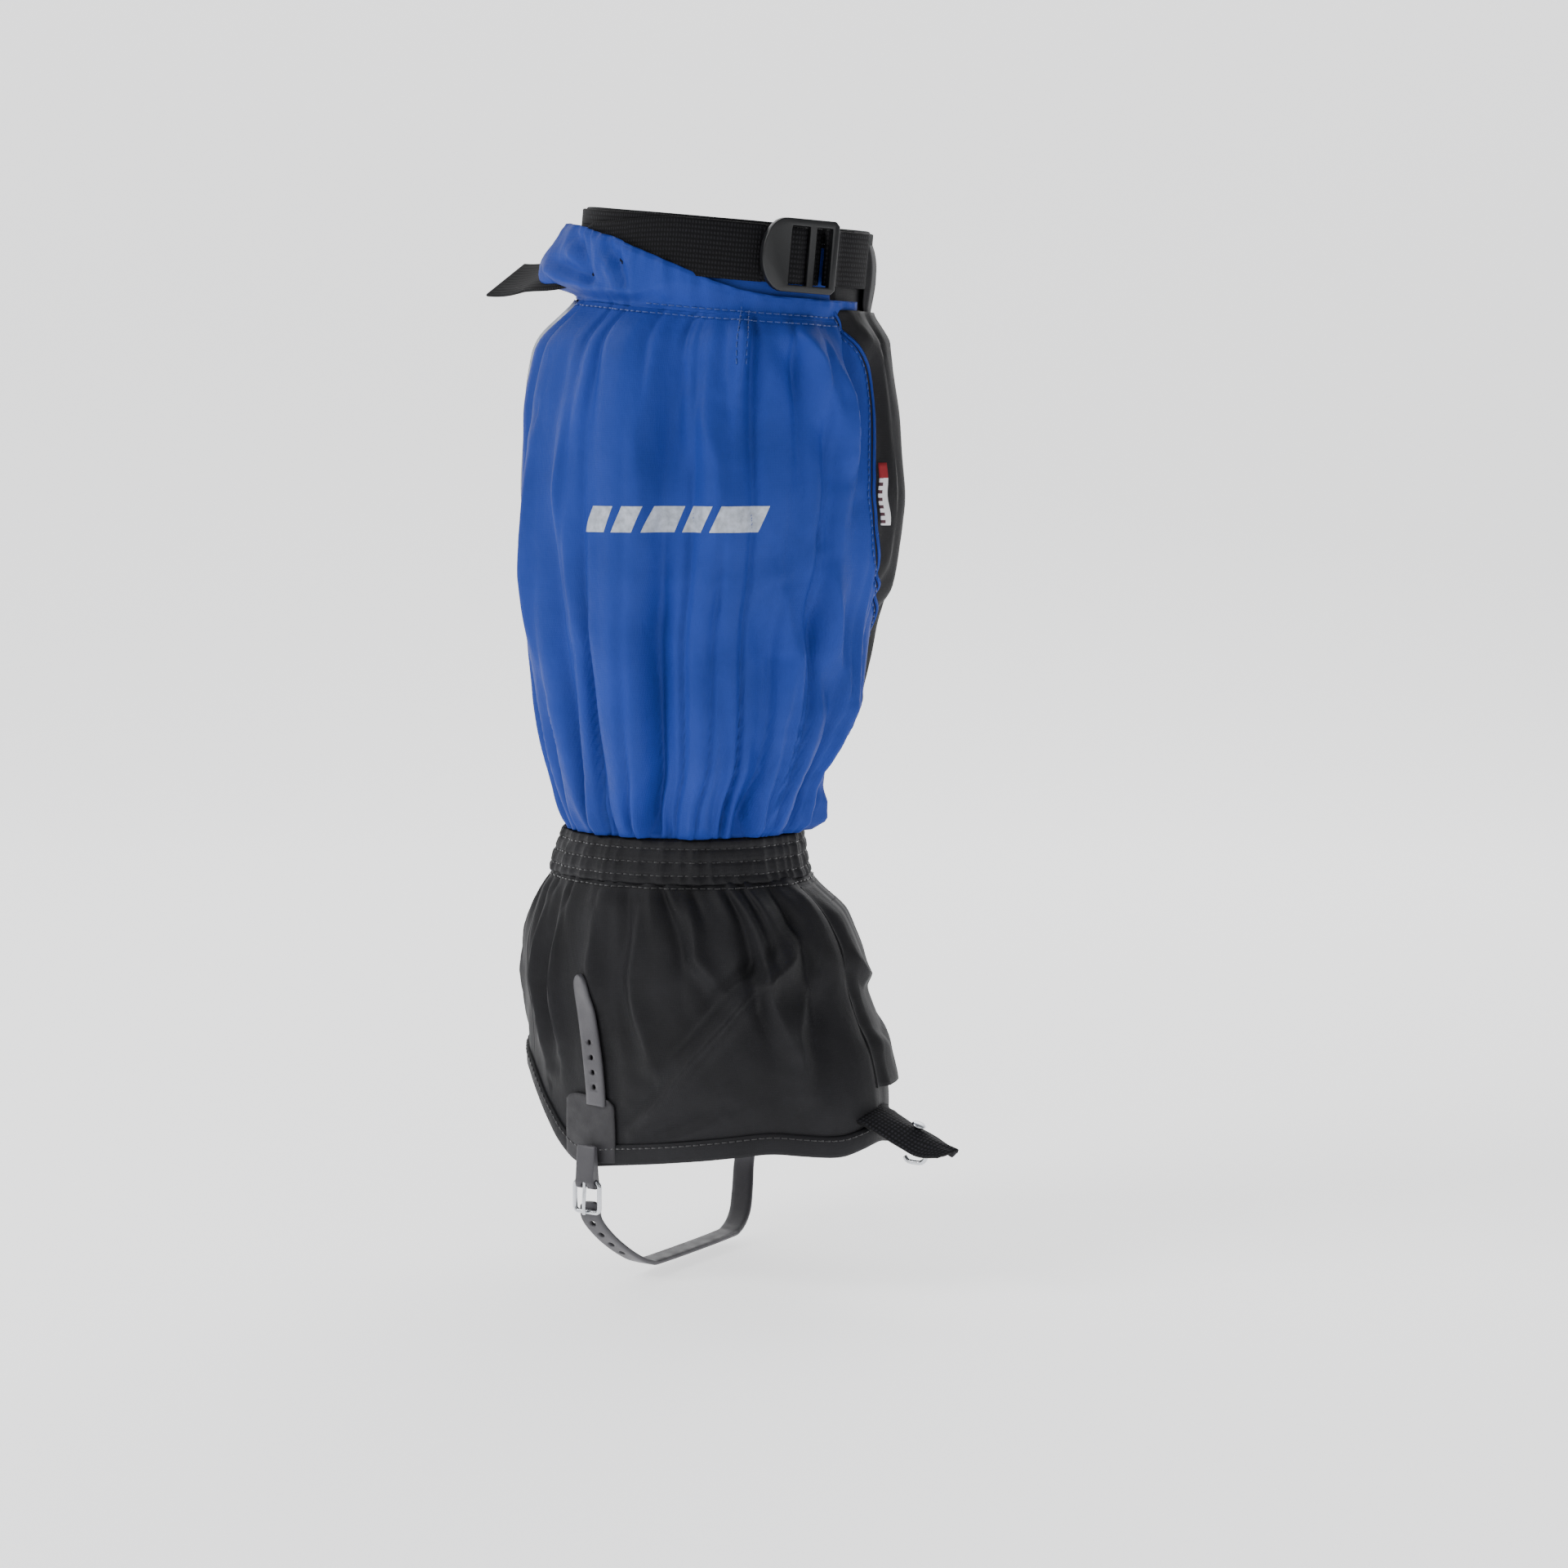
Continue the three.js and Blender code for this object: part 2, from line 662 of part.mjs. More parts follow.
// The loop that joins the buckle to the outer patch, with its eye round the top wire
function addBuckle() {
  const y = bucklePivot.y;
  const eye = wireRadius + gap + 1.6;
  const half = buckleWidth / 2 - wireRadius;
  const loopSheet = new THREE.BoxGeometry(instepWidth - 1, instepThick, anchorHeight + 6 - buckleTop);
  loopSheet.translate(strapForward, y, (anchorHeight + 6 + buckleTop) / 2);
  const eyeRing = bar(point(strapForward - 5, y, buckleTop), point(strapForward + 5, y, buckleTop), eye, 16);
  const bore = bar(point(strapForward - 9, y, buckleTop), point(strapForward + 9, y, buckleTop), wireRadius + gap, 12);
  const body = joined([loopSheet, eyeRing]);
  const ringReach = wireRadius + gap + 1;
  const notch = new THREE.BoxGeometry(3.4, 12, ringReach + 6.8);
  notch.translate(strapForward, y, buckleTop + (ringReach - 6) / 2);
  addPiece("buckle_loop", withHoles(body, [bore, notch]), greyRubber());

  const corners = [
    point(strapForward - half, y, buckleTop),
    point(strapForward + half, y, buckleTop),
    point(strapForward + half, y, buckleLow),
    point(strapForward - half, y, buckleLow),
  ];
  const wires = corners.map((corner, k) => bar(corner, corners[(k + 1) % 4], wireRadius));
  const balls = corners.map((corner) => new THREE.SphereGeometry(wireRadius, 10, 6).translate(...corner));
  addPiece("buckle_frame", joined([...wires, ...balls]), brightSteel());

  const ring = bar(point(strapForward - 1, y, buckleTop), point(strapForward + 1, y, buckleTop), wireRadius + gap + 1, 14);
  const ringBore = bar(point(strapForward - 3, y, buckleTop), point(strapForward + 3, y, buckleTop), wireRadius + 0.3, 12);
  const outFace = y - wireRadius - gap - 0.8;
  const prong = bar(point(strapForward, y - 1.9, buckleTop), point(strapForward, outFace - 0.2, buckleLow - 1), 0.8, 8);
  addPiece("buckle_prong", withHoles(joined([ring, prong]), [ringBore]), brightSteel());
}

addUpper();
addRim();
addLadderLock();
addClosure();
addStud();
addLabel();
addAnkle();
addSkirt();
addTongue();
addLaceHook();
addPatches();
addStrapEnd();
addInstepStrap();
addRivet();
addBuckle();

export default part;
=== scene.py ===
import json
import math
import random
import bmesh
import bpy
import numpy as np
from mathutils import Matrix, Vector, noise
from mathutils.bvhtree import BVHTree


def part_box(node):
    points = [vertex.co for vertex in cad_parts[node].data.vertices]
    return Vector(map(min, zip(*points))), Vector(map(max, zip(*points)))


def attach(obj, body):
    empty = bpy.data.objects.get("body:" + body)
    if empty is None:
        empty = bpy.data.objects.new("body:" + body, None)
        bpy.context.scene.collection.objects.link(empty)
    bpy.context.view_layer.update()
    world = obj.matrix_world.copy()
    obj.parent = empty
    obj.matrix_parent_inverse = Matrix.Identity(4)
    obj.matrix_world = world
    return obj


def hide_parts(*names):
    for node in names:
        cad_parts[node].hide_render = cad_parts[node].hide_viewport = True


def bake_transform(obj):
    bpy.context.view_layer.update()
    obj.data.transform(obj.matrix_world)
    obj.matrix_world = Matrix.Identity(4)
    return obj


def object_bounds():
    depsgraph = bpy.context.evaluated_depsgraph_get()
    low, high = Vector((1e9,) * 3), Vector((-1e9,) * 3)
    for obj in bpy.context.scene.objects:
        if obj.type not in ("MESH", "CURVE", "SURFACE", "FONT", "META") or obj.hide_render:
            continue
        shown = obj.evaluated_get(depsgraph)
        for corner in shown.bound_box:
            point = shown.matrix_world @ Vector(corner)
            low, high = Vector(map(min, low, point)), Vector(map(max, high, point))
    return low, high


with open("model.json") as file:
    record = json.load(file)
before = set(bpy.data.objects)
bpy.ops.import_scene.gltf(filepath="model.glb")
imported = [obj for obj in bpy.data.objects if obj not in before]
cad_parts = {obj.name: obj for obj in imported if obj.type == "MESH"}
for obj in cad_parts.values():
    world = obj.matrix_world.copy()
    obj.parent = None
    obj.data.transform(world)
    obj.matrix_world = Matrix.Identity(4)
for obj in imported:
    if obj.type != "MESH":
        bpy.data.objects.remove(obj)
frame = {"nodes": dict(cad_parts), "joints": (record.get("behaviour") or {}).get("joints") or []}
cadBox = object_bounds()
nodes = frame["nodes"]
joints = {joint["name"]: joint for joint in frame["joints"]}

# ---- camera: the outer front side, a little above the ankle ----
cameraSetup = {
    "azimuth": 33.0,  # degrees from straight side on, towards the toe
    "distance": 1.5,
    "height": 0.18,  # above the ankle gather
    "lens": 74.0,
    "aimRight": 0.047,  # the view's middle, to the right of the leg's axis
    "aimHeight": 0.021,
}


def linkObject(name, data):
    made = bpy.data.objects.new(name, data)
    bpy.context.collection.objects.link(made)
    return made


def makeCamera():
    turn = math.radians(cameraSetup["azimuth"])
    right = Vector((math.cos(turn), math.sin(turn), 0))
    back = Vector((math.sin(turn), -math.cos(turn), 0))
    aim = right * cameraSetup["aimRight"] + Vector((0, 0, cameraSetup["aimHeight"]))
    data = bpy.data.cameras.new("camera")
    data.lens = cameraSetup["lens"]
    data.sensor_width = 36
    camera = linkObject("camera", data)
    place = right * cameraSetup["aimRight"] + back * cameraSetup["distance"]
    camera.location = place + Vector((0, 0, cameraSetup["height"]))
    camera.rotation_euler = (aim - camera.location).to_track_quat("-Z", "Y").to_euler()
    bpy.context.scene.camera = camera


makeCamera()

# ---- leg shape, read from the CAD panels ----
legSetup = {"step": 0.001, "soften": 5.0}  # metres between readings, readings to average over


def treeOf(*names):
    points, faces = [], []
    for name in names:
        mesh = nodes[name].data
        start = len(points)
        points += [vertex.co.copy() for vertex in mesh.vertices]
        faces += [[start + i for i in polygon.vertices] for polygon in mesh.polygons]
    return BVHTree.FromPolygons(points, faces)


def smoothed(values, taps):
    # a running average, weighted by taps
    reach = len(taps) // 2
    return np.convolve(np.pad(values, reach, mode="edge"), taps / taps.sum(), mode="valid")


def readLeg():
    shell = ("upper_outer_panel", "upper_inner_panel", "ankle_casing")
    shell += ("skirt_outer_panel", "skirt_inner_panel", "bottom_hem")
    tree = treeOf(*shell)
    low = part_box("bottom_hem")[0][2] + 0.001
    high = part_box("rim_binding")[1][2]
    heights = np.arange(low, high, legSetup["step"])
    rows = []
    for z in heights:
        front = tree.ray_cast(Vector((0.5, -0.002, z)), Vector((-1, 0, 0)))[0]
        back = tree.ray_cast(Vector((-0.5, -0.008, z)), Vector((1, 0, 0)))[0]
        if front is None or back is None or front.x < back.x + 0.08:
            rows.append(None)
            continue
        centre = (front.x + back.x) / 2
        side = tree.ray_cast(Vector((centre, -0.5, z)), Vector((0, 1, 0)))[0]
        rows.append((centre, (front.x - back.x) / 2, -side.y) if side else None)
    good = [i for i, row in enumerate(rows) if row]
    table = np.array([rows[i] for i in good])
    full = np.array([np.interp(heights, heights[good], table[:, k]) for k in range(3)])
    reach = int(legSetup["soften"] * 3)
    taps = np.exp(-0.5 * (np.arange(-reach, reach + 1) / legSetup["soften"]) ** 2)
    return heights, np.array([smoothed(row, taps) for row in full])


legHeights, legTable = readLeg()
print("leg read from the frame", len(legHeights))


def legSection(z):
    return [np.interp(z, legHeights, legTable[k]) for k in range(3)]


def legSpots(angle, z, out):
    # points on the leg surface, moved outwards by out
    centre, halfLong, halfWide = legSection(z)
    turn = np.radians(angle)
    c, s = np.cos(turn), np.sin(turn)
    nx, ny = c / halfLong, s / halfWide
    size = np.hypot(nx, ny)
    x = centre + halfLong * c + out * nx / size
    y = halfWide * s + out * ny / size
    return np.stack([x, y, z + 0 * angle], axis=-1)


# ---- the rim's leaning cylinder ----
rimJoint = joints["strap_tail_pull"]
rimCentre = np.array(rimJoint["pos_m"])
rimAxis = -np.array(rimJoint["axis"])
rimAxis /= np.linalg.norm(rimAxis)
rimForward = np.cross([0, 1, 0], rimAxis)
rimRadius = (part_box("rim_binding")[1][1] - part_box("rim_binding")[0][1]) / 2 - 0.0003


def rimSpots(angle, height, out):
    turn = np.radians(angle)
    radius = rimRadius + out
    flat = np.multiply.outer(radius * np.cos(turn), rimForward)
    flat = flat + np.multiply.outer(radius * np.sin(turn), np.array([0, 1, 0]))
    return rimCentre + flat + np.multiply.outer(height + 0 * angle, rimAxis)


# ---- making meshes ----
def linear(code):
    values = [int(code[i : i + 2], 16) / 255 for i in (0, 2, 4)]
    curved = [v / 12.92 if v <= 0.04045 else ((v + 0.055) / 1.055) ** 2.4 for v in values]
    return (*curved, 1.0)


def addPiece(name, mesh, material, body=None, stands=()):
    piece = linkObject(name, mesh)
    mesh.materials.append(material)
    if body:
        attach(piece, body)
    if stands:
        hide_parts(*stands)
    return piece


def settle(piece):
    # swaps the piece's mesh for what its modifiers make of it
    bpy.context.view_layer.update()
    depsgraph = bpy.context.evaluated_depsgraph_get()
    made = bpy.data.meshes.new_from_object(piece.evaluated_get(depsgraph))
    piece.modifiers.clear()
    piece.data = made
    return made


def gridNormals(spots, closed):
    if closed:
        wrapped = np.concatenate([spots[:, -1:], spots, spots[:, :1]], axis=1)
        across = wrapped[:, 2:] - wrapped[:, :-2]
    else:
        across = np.gradient(spots, axis=1)
    up = np.gradient(spots, axis=0)
    normal = np.cross(across, up)
    return normal / np.maximum(np.linalg.norm(normal, axis=-1, keepdims=True), 1e-12)


def gridMesh(name, spots, thick, closed=False):
    # a sheet with a wall inside it: rows go up, columns go round anticlockwise
    rows, columns = spots.shape[:2]
    inner = spots - gridNormals(spots, closed) * thick
    points = np.concatenate([spots.reshape(-1, 3), inner.reshape(-1, 3)])
    spans = columns if closed else columns - 1
    r, c = np.meshgrid(np.arange(rows - 1), np.arange(spans), indexing="ij")
    r, c = r.ravel(), c.ravel()
    nextC = (c + 1) % columns
    a, b = r * columns + c, r * columns + nextC
    d, e = (r + 1) * columns + nextC, (r + 1) * columns + c
    half = rows * columns
    front = np.stack([a, b, d, e], 1)
    behind = np.stack([a, e, d, b], 1) + half
    k = np.arange(spans)
    kn = (k + 1) % columns
    top = (rows - 1) * columns
    lowEdge = np.stack([k, k + half, kn + half, kn], 1)
    highEdge = np.stack([top + k, top + kn, top + kn + half, top + k + half], 1)
    parts = [front, behind, lowEdge, highEdge]
    if not closed:
        j = np.arange(rows - 1) * columns
        jn = j + columns
        last = columns - 1
        parts.append(np.stack([j, jn, jn + half, j + half], 1))
        parts.append(np.stack([j + last, j + last + half, jn + last + half, jn + last], 1))
    faces = np.concatenate(parts)
    mesh = bpy.data.meshes.new(name)
    mesh.from_pydata(points.tolist(), [], faces.tolist())
    middleRow, middleColumn = spots[rows // 2], spots[:, columns // 2]
    along = np.append(0, np.cumsum(np.linalg.norm(np.diff(middleRow, axis=0), axis=1)))
    rise = np.append(0, np.cumsum(np.linalg.norm(np.diff(middleColumn, axis=0), axis=1)))
    uv = np.stack(np.meshgrid(along, rise), -1).reshape(-1, 2)
    uv = np.concatenate([uv, uv])
    layer = mesh.uv_layers.new(name="cloth")
    loops = np.empty(len(mesh.loops), dtype=np.int32)
    mesh.loops.foreach_get("vertex_index", loops)
    layer.data.foreach_set("uv", uv[loops].astype(np.float32).ravel())
    mesh.polygons.foreach_set("use_smooth", [True] * len(mesh.polygons))
    mesh.update()
    return mesh


def gridPiece(name, spots, thick, material, body=None, stands=(), closed=False):
    return addPiece(name, gridMesh(name, spots, thick, closed), material, body, stands)


# ---- materials ----
def addNode(tree, kind, settings=None, links=None):
    node = tree.nodes.new(kind)
    for key, value in (settings or {}).items():
        if isinstance(key, int) or key in node.inputs:
            node.inputs[key].default_value = value
        else:
            setattr(node, key, value)
    for key, socket in (links or {}).items():
        tree.links.new(socket, node.inputs[key])
    return node


def startMaterial(name, color, roughness, metallic=0.0, specular=0.5, sheen=0.0, coat=0.0):
    material = bpy.data.materials.new(name)
    material.use_nodes = True
    material.diffuse_color = linear(color)
    tree = material.node_tree
    shader = tree.nodes["Principled BSDF"]
    values = {"Base Color": linear(color), "Roughness": roughness, "Metallic": metallic}
    values.update({"Specular IOR Level": specular, "Sheen Weight": sheen, "Coat Weight": coat})
    for key, value in values.items():
        shader.inputs[key].default_value = value
    return material, tree, shader


def paint(tree, shader, factor, dark, light):
    # the shader's colour goes from dark to light with the factor
    tree.links.new(mixColors(tree, factor, dark, light), shader.inputs["Base Color"])


def mixColors(tree, factor, first, second):
    mix = addNode(tree, "ShaderNodeMix", {"data_type": "RGBA"}, {0: factor})
    mix.inputs[6].default_value = linear(first)
    mix.inputs[7].default_value = linear(second)
    return mix.outputs[2]


def waveScale(spacing):
    # a wave texture repeats every 2 pi / 20 of its scaled length
    return 2 * math.pi / 20 / spacing


def threads(tree, spacing, other=None, distort=0.4):
    # crossing threads in the cloth's own metres
    uv = addNode(tree, "ShaderNodeUVMap", {"uv_map": "cloth"}).outputs[0]
    waves = []
    for direction, size in (("X", spacing), ("Y", other or spacing)):
        settings = {"bands_direction": direction, "Scale": waveScale(size)}
        settings.update({"Distortion": distort, "Detail": 1.0, "Detail Scale": 1.5})
        waves.append(addNode(tree, "ShaderNodeTexWave", settings, {"Vector": uv}).outputs["Fac"])
    return addNode(tree, "ShaderNodeMath", {"operation": "MULTIPLY"}, dict(enumerate(waves))).outputs[0]


def noiseOf(tree, scale, detail=3.0, rough=0.55, stretch=None):
    coordinates = addNode(tree, "ShaderNodeTexCoord").outputs["Object"]
    if stretch:
        mapping = addNode(tree, "ShaderNodeMapping", {"Scale": stretch}, {"Vector": coordinates})
        coordinates = mapping.outputs[0]
    settings = {"Scale": scale, "Detail": detail, "Roughness": rough}
    return addNode(tree, "ShaderNodeTexNoise", settings, {"Vector": coordinates}).outputs["Fac"]


def rangeOf(tree, value, low, high, fromLow=0.3, fromHigh=0.7):
    settings = {"From Min": fromLow, "From Max": fromHigh, "To Min": low, "To Max": high}
    return addNode(tree, "ShaderNodeMapRange", settings, {"Value": value}).outputs[0]


def bumpOf(tree, shader, height, depth, strength=1.0):
    before = shader.inputs["Normal"].links
    links = {"Height": height}
    if before:
        links["Normal"] = before[0].from_socket
    settings = {"Strength": strength, "Distance": depth}
    bump = addNode(tree, "ShaderNodeBump", settings, links)
    tree.links.new(bump.outputs[0], shader.inputs["Normal"])


# 210-denier nylon taffeta, dyed royal blue, coated on its back and calendered, so it shines softly.
# Its threads lie 0.3 mm apart; they are drawn 0.8 mm apart so that they show.
def blueTaffeta():
    material, tree, shader = startMaterial("blueTaffeta", "1C46A0", 0.5, specular=0.14)
    patchy = noiseOf(tree, 22, 4)
    paint(tree, shader, rangeOf(tree, patchy, 0, 1), "1D3682", "253F94")
    worn = noiseOf(tree, 60, 3)
    tree.links.new(rangeOf(tree, worn, 0.5, 0.62), shader.inputs["Roughness"])
    crinkle = noiseOf(tree, 130, 4, 0.6, (1, 1, 0.45))
    bumpOf(tree, shader, crinkle, 0.0012, 0.55)
    bumpOf(tree, shader, threads(tree, 0.0008), 0.00007, 0.7)
    return material


# The same taffeta dyed black, without the calendered shine.
def blackTaffeta():
    material, tree, shader = startMaterial("blackTaffeta", "161618", 0.62, specular=0.2)
    patchy = noiseOf(tree, 25, 4)
    paint(tree, shader, rangeOf(tree, patchy, 0, 1), "161618", "1F1F22")
    crinkle = noiseOf(tree, 130, 4, 0.6, (1, 1, 0.5))
    bumpOf(tree, shader, crinkle, 0.001, 0.5)
    bumpOf(tree, shader, threads(tree, 0.0008), 0.00007, 0.7)
    return material


# 900-denier packcloth: a coarse plain weave, 0.9 mm between threads, that stands in clear grains.
def blackPackcloth():
    material, tree, shader = startMaterial("blackPackcloth", "1A1A1D", 0.75, specular=0.2)
    grains = threads(tree, 0.0018, distort=0.8)
    paint(tree, shader, rangeOf(tree, grains, 0, 1, 0.0, 0.8), "0F0F11", "2B2B30")
    bumpOf(tree, shader, grains, 0.0004, 0.9)
    return material


# Polypropylene webbing, woven with a rib across it every 1.3 mm and a row of picks every 2 mm.
def blackWebbing():
    material, tree, shader = startMaterial("blackWebbing", "0E0E10", 0.7, specular=0.12)
    ribs = threads(tree, 0.0014, 0.0021, 0.9)
    paint(tree, shader, rangeOf(tree, ribs, 0, 1, 0.0, 0.8), "08080A", "1D1D20")
    bumpOf(tree, shader, ribs, 0.0003, 0.9)
    return material


# Knitted elastic: fine ribs round it, matte.
def ribbedElastic():
    material, tree, shader = startMaterial("ribbedElastic", "141416", 0.8, specular=0.2)
    ribs = threads(tree, 0.0009, 0.0022, 0.5)
    bumpOf(tree, shader, ribs, 0.0003, 0.9)
    paint(tree, shader, ribs, "0E0E10", "222226")
    return material


# Hook-and-loop tape: a nap of loops or hooks under a millimetre high.
def napTape(name, dark, light):
    material, tree, shader = startMaterial(name, dark, 0.95, specular=0.15, sheen=0.08)
    nap = noiseOf(tree, 900, 2, 0.8)
    paint(tree, shader, rangeOf(tree, nap, 0, 1), dark, light)
    bumpOf(tree, shader, nap, 0.0008, 1.0)
    return material


# Moulded polyurethane: satin, a little paler where it is rubbed.
def mouldedTpu(name, dark, light, rough):
    material, tree, shader = startMaterial(name, dark, rough)
    rubbed = noiseOf(tree, 45, 4)
    paint(tree, shader, rangeOf(tree, rubbed, 0, 1), dark, light)
    gloss = rangeOf(tree, noiseOf(tree, 160, 3), rough - 0.07, rough + 0.1)
    tree.links.new(gloss, shader.inputs["Roughness"])
    bumpOf(tree, shader, noiseOf(tree, 1400, 2), 0.00012, 0.6)
    return material


# Injection-moulded acetal: dark, satin, with the mould's fine spark grain.
def mouldedAcetal():
    material, tree, shader = startMaterial("mouldedAcetal", "141517", 0.34, specular=0.4)
    tree.links.new(rangeOf(tree, noiseOf(tree, 90, 3), 0.28, 0.42), shader.inputs["Roughness"])
    bumpOf(tree, shader, noiseOf(tree, 1800, 2), 0.00008, 0.5)
    return material


# Nickel-plated steel wire, drawn and tumbled bright, with faint scuffs.
def platedSteel():
    material, tree, shader = startMaterial("platedSteel", "C9CCD0", 0.2, 1.0)
    scuffs = noiseOf(tree, 500, 4, 0.7, (1, 1, 0.2))
    tree.links.new(rangeOf(tree, scuffs, 0.14, 0.34), shader.inputs["Roughness"])
    paint(tree, shader, rangeOf(tree, noiseOf(tree, 70, 2), 0, 1), "B9BCC1", "D4D6D9")
    return material


# Polyester sewing thread, twisted, slightly glossy.
def sewingThread(name, color):
    material, tree, shader = startMaterial(name, color, 0.5, sheen=0.3)
    bumpOf(tree, shader, noiseOf(tree, 2500, 1), 0.0001, 0.6)
    return material


# Grey reflective tape folded into piping, and the same film printed as stripes.
def greyFilm(name, color, rough):
    material, tree, shader = startMaterial(name, color, rough, coat=0.2)
    paint(tree, shader, rangeOf(tree, noiseOf(tree, 300, 3), 0, 1), color, "8E949F")
    bumpOf(tree, shader, noiseOf(tree, 1500, 2), 0.00006, 0.4)
    return material


# Damask-woven label: pale ground, a red end and small dark marks woven in, no lettering.
def wovenLabel():
    material, tree, shader = startMaterial("wovenLabel", "D9D9DC", 0.7, specular=0.2)
    uv = addNode(tree, "ShaderNodeUVMap", {"uv_map": "cloth"}).outputs[0]
    across, rise, _ = addNode(tree, "ShaderNodeSeparateXYZ", None, {"Vector": uv}).outputs
    settings = {"bands_direction": "Y", "Scale": waveScale(0.0034)}
    marks = addNode(tree, "ShaderNodeTexWave", settings, {"Vector": uv}).outputs["Fac"]
    top = addNode(tree, "ShaderNodeMath", {"operation": "GREATER_THAN", 1: 0.0215}, {0: rise})
    dark = addNode(tree, "ShaderNodeMath", {"operation": "GREATER_THAN", 1: 0.55}, {0: marks})
    inside = addNode(tree, "ShaderNodeMath", {"operation": "LESS_THAN", 1: 0.0019}, {0: across})
    links = {0: dark.outputs[0], 1: inside.outputs[0]}
    both = addNode(tree, "ShaderNodeMath", {"operation": "MULTIPLY"}, links)
    ground = mixColors(tree, both.outputs[0], "D6D6D9", "4A3138")
    ends = addNode(tree, "ShaderNodeMix", {"data_type": "RGBA"}, {0: top.outputs[0], 6: ground})
    ends.inputs[7].default_value = linear("8E2B30")
    tree.links.new(ends.outputs[2], shader.inputs["Base Color"])
    bumpOf(tree, shader, threads(tree, 0.0005), 0.0001, 0.6)
    return material


blue = blueTaffeta()
black = blackTaffeta()
packcloth = blackPackcloth()
webbing = blackWebbing()
elasticCloth = ribbedElastic()
loopNap = napTape("loopNap", "161618", "232326")
hookNap = napTape("hookNap", "121214", "2A2A2E")
greyTpu = mouldedTpu("greyTpu", "403F43", "4C4B4F", 0.5)
darkTpu = mouldedTpu("darkTpu", "1C1B1F", "252428", 0.6)
acetal = mouldedAcetal()
steel = platedSteel()
blackThread = sewingThread("blackThread", "19191B")
blueThread = sewingThread("blueThread", "1F3F8A")
piping = greyFilm("piping", "A9AFB9", 0.45)
stripeFilm = greyFilm("stripeFilm", "B7BECC", 0.4)
labelCloth = wovenLabel()
print("materials made")


# ---- folds ----
def wrap(angle):
    return (angle + 180) % 360 - 180


def pleats(count, reach, depth, seed, lean=0.0, thin=1.0, sharp=1.6, widen=1.2):
    # count of them round the leg, reach and depth in metres, lean in degrees for each metre
    return {"count": count, "reach": reach, "depth": depth, "seed": seed, "lean": lean, "thin": thin,
            "sharp": sharp, "widen": widen}


def gathers(angle, away, recipe):
    # pleats that start at a gathering line and fade with the distance from it
    rng = random.Random(recipe["seed"])
    count, thin, fade = recipe["count"], recipe["thin"], 1.4
    total = np.zeros(np.broadcast(angle, away).shape)
    for k in range(count):
        middle = 360 * (k + rng.uniform(-0.38, 0.38)) / count
        reach = recipe["reach"] * rng.uniform(0.45, 1.7)
        depth = recipe["depth"] * rng.uniform(0.45, 1.35)
        lean = rng.uniform(-1, 1) * recipe["lean"]
        width = 360 / count * rng.uniform(0.3, 0.5) * thin
        spread = width * (1 + recipe["widen"] * away / reach)
        offset = np.abs(wrap(angle - middle - lean * away)) / spread
        total += depth * np.exp(-offset ** recipe["sharp"]) * np.exp(-((away / reach) ** fade))
    share = 0.67 * recipe["depth"] * thin * np.exp(-((away / recipe["reach"]) ** fade))
    return total - share


def fold(width, depth, *path, side=1):
    # a crease through (degrees, metres) points
    return {"path": path, "width": width, "depth": depth, "side": side}


def crease(angle, z, line):
    # a long fold along a path: a crest with a hollow to one side
    radius = 0.075
    path = [(math.radians(a) * radius, h) for a, h in line["path"]]
    x, y = np.broadcast_arrays(np.radians(angle) * radius, z)
    best = np.full(x.shape, 9.0)
    signed = np.zeros(x.shape)
    share = np.zeros(x.shape)
    lengths = [math.dist(path[i], path[i + 1]) for i in range(len(path) - 1)]
    whole = sum(lengths)
    gone = 0.0
    for (x0, y0), (x1, y1), length in zip(path, path[1:], lengths):
        ux, uy = (x1 - x0) / length, (y1 - y0) / length
        along = np.clip((x - x0) * ux + (y - y0) * uy, 0, length)
        px, py = x - x0 - along * ux, y - y0 - along * uy
        far = np.hypot(px, py)
        side = np.sign(ux * (y - y0) - uy * (x - x0))
        closer = far < best
        best = np.where(closer, far, best)
        signed = np.where(closer, far * side, signed)
        share = np.where(closer, (gone + along) / whole, share)
        gone += length
    fade = np.sin(np.pi * np.clip(share, 0.04, 0.96)) ** 0.6
    width = line["width"]
    crest = np.exp(-((np.abs(signed) / width) ** 1.3))
    hollow = 0.55 * np.exp(-(((signed + line["side"] * 1.7 * width) / width) ** 2))
    return line["depth"] * fade * (crest - hollow)


def creasesOf(angle, z, setup):
    # every crease of a panel, whichever way round the leg its angles are counted
    lines = setup["creases"]
    total = sum(crease(angle, z, line) + crease(angle - 360, z, line) for line in lines)
    return setup["creaseGain"] * total


def cloudy(angle, z, size, stretch, seed):
    # smooth noise round the leg, stretched up and down it
    a, h = np.broadcast_arrays(np.radians(angle), z)
    radius = 0.075 / size
    values = [
        noise.noise(Vector((radius * math.cos(t), radius * math.sin(t), k / size / stretch + seed)))
        for t, k in zip(a.ravel(), h.ravel())
    ]
    return np.array(values).reshape(a.shape)


def cloudsOf(angle, z, setup):
    return sum(height * cloudy(angle, z, *rest) for height, *rest in setup["clouds"])


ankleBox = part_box("ankle_casing")
ankleTop, ankleLow = ankleBox[1][2], ankleBox[0][2]
cuffSetup = {"band": 0.0385, "before": 0.004, "after": 0.012}  # where the strap's casing ends, below the rim

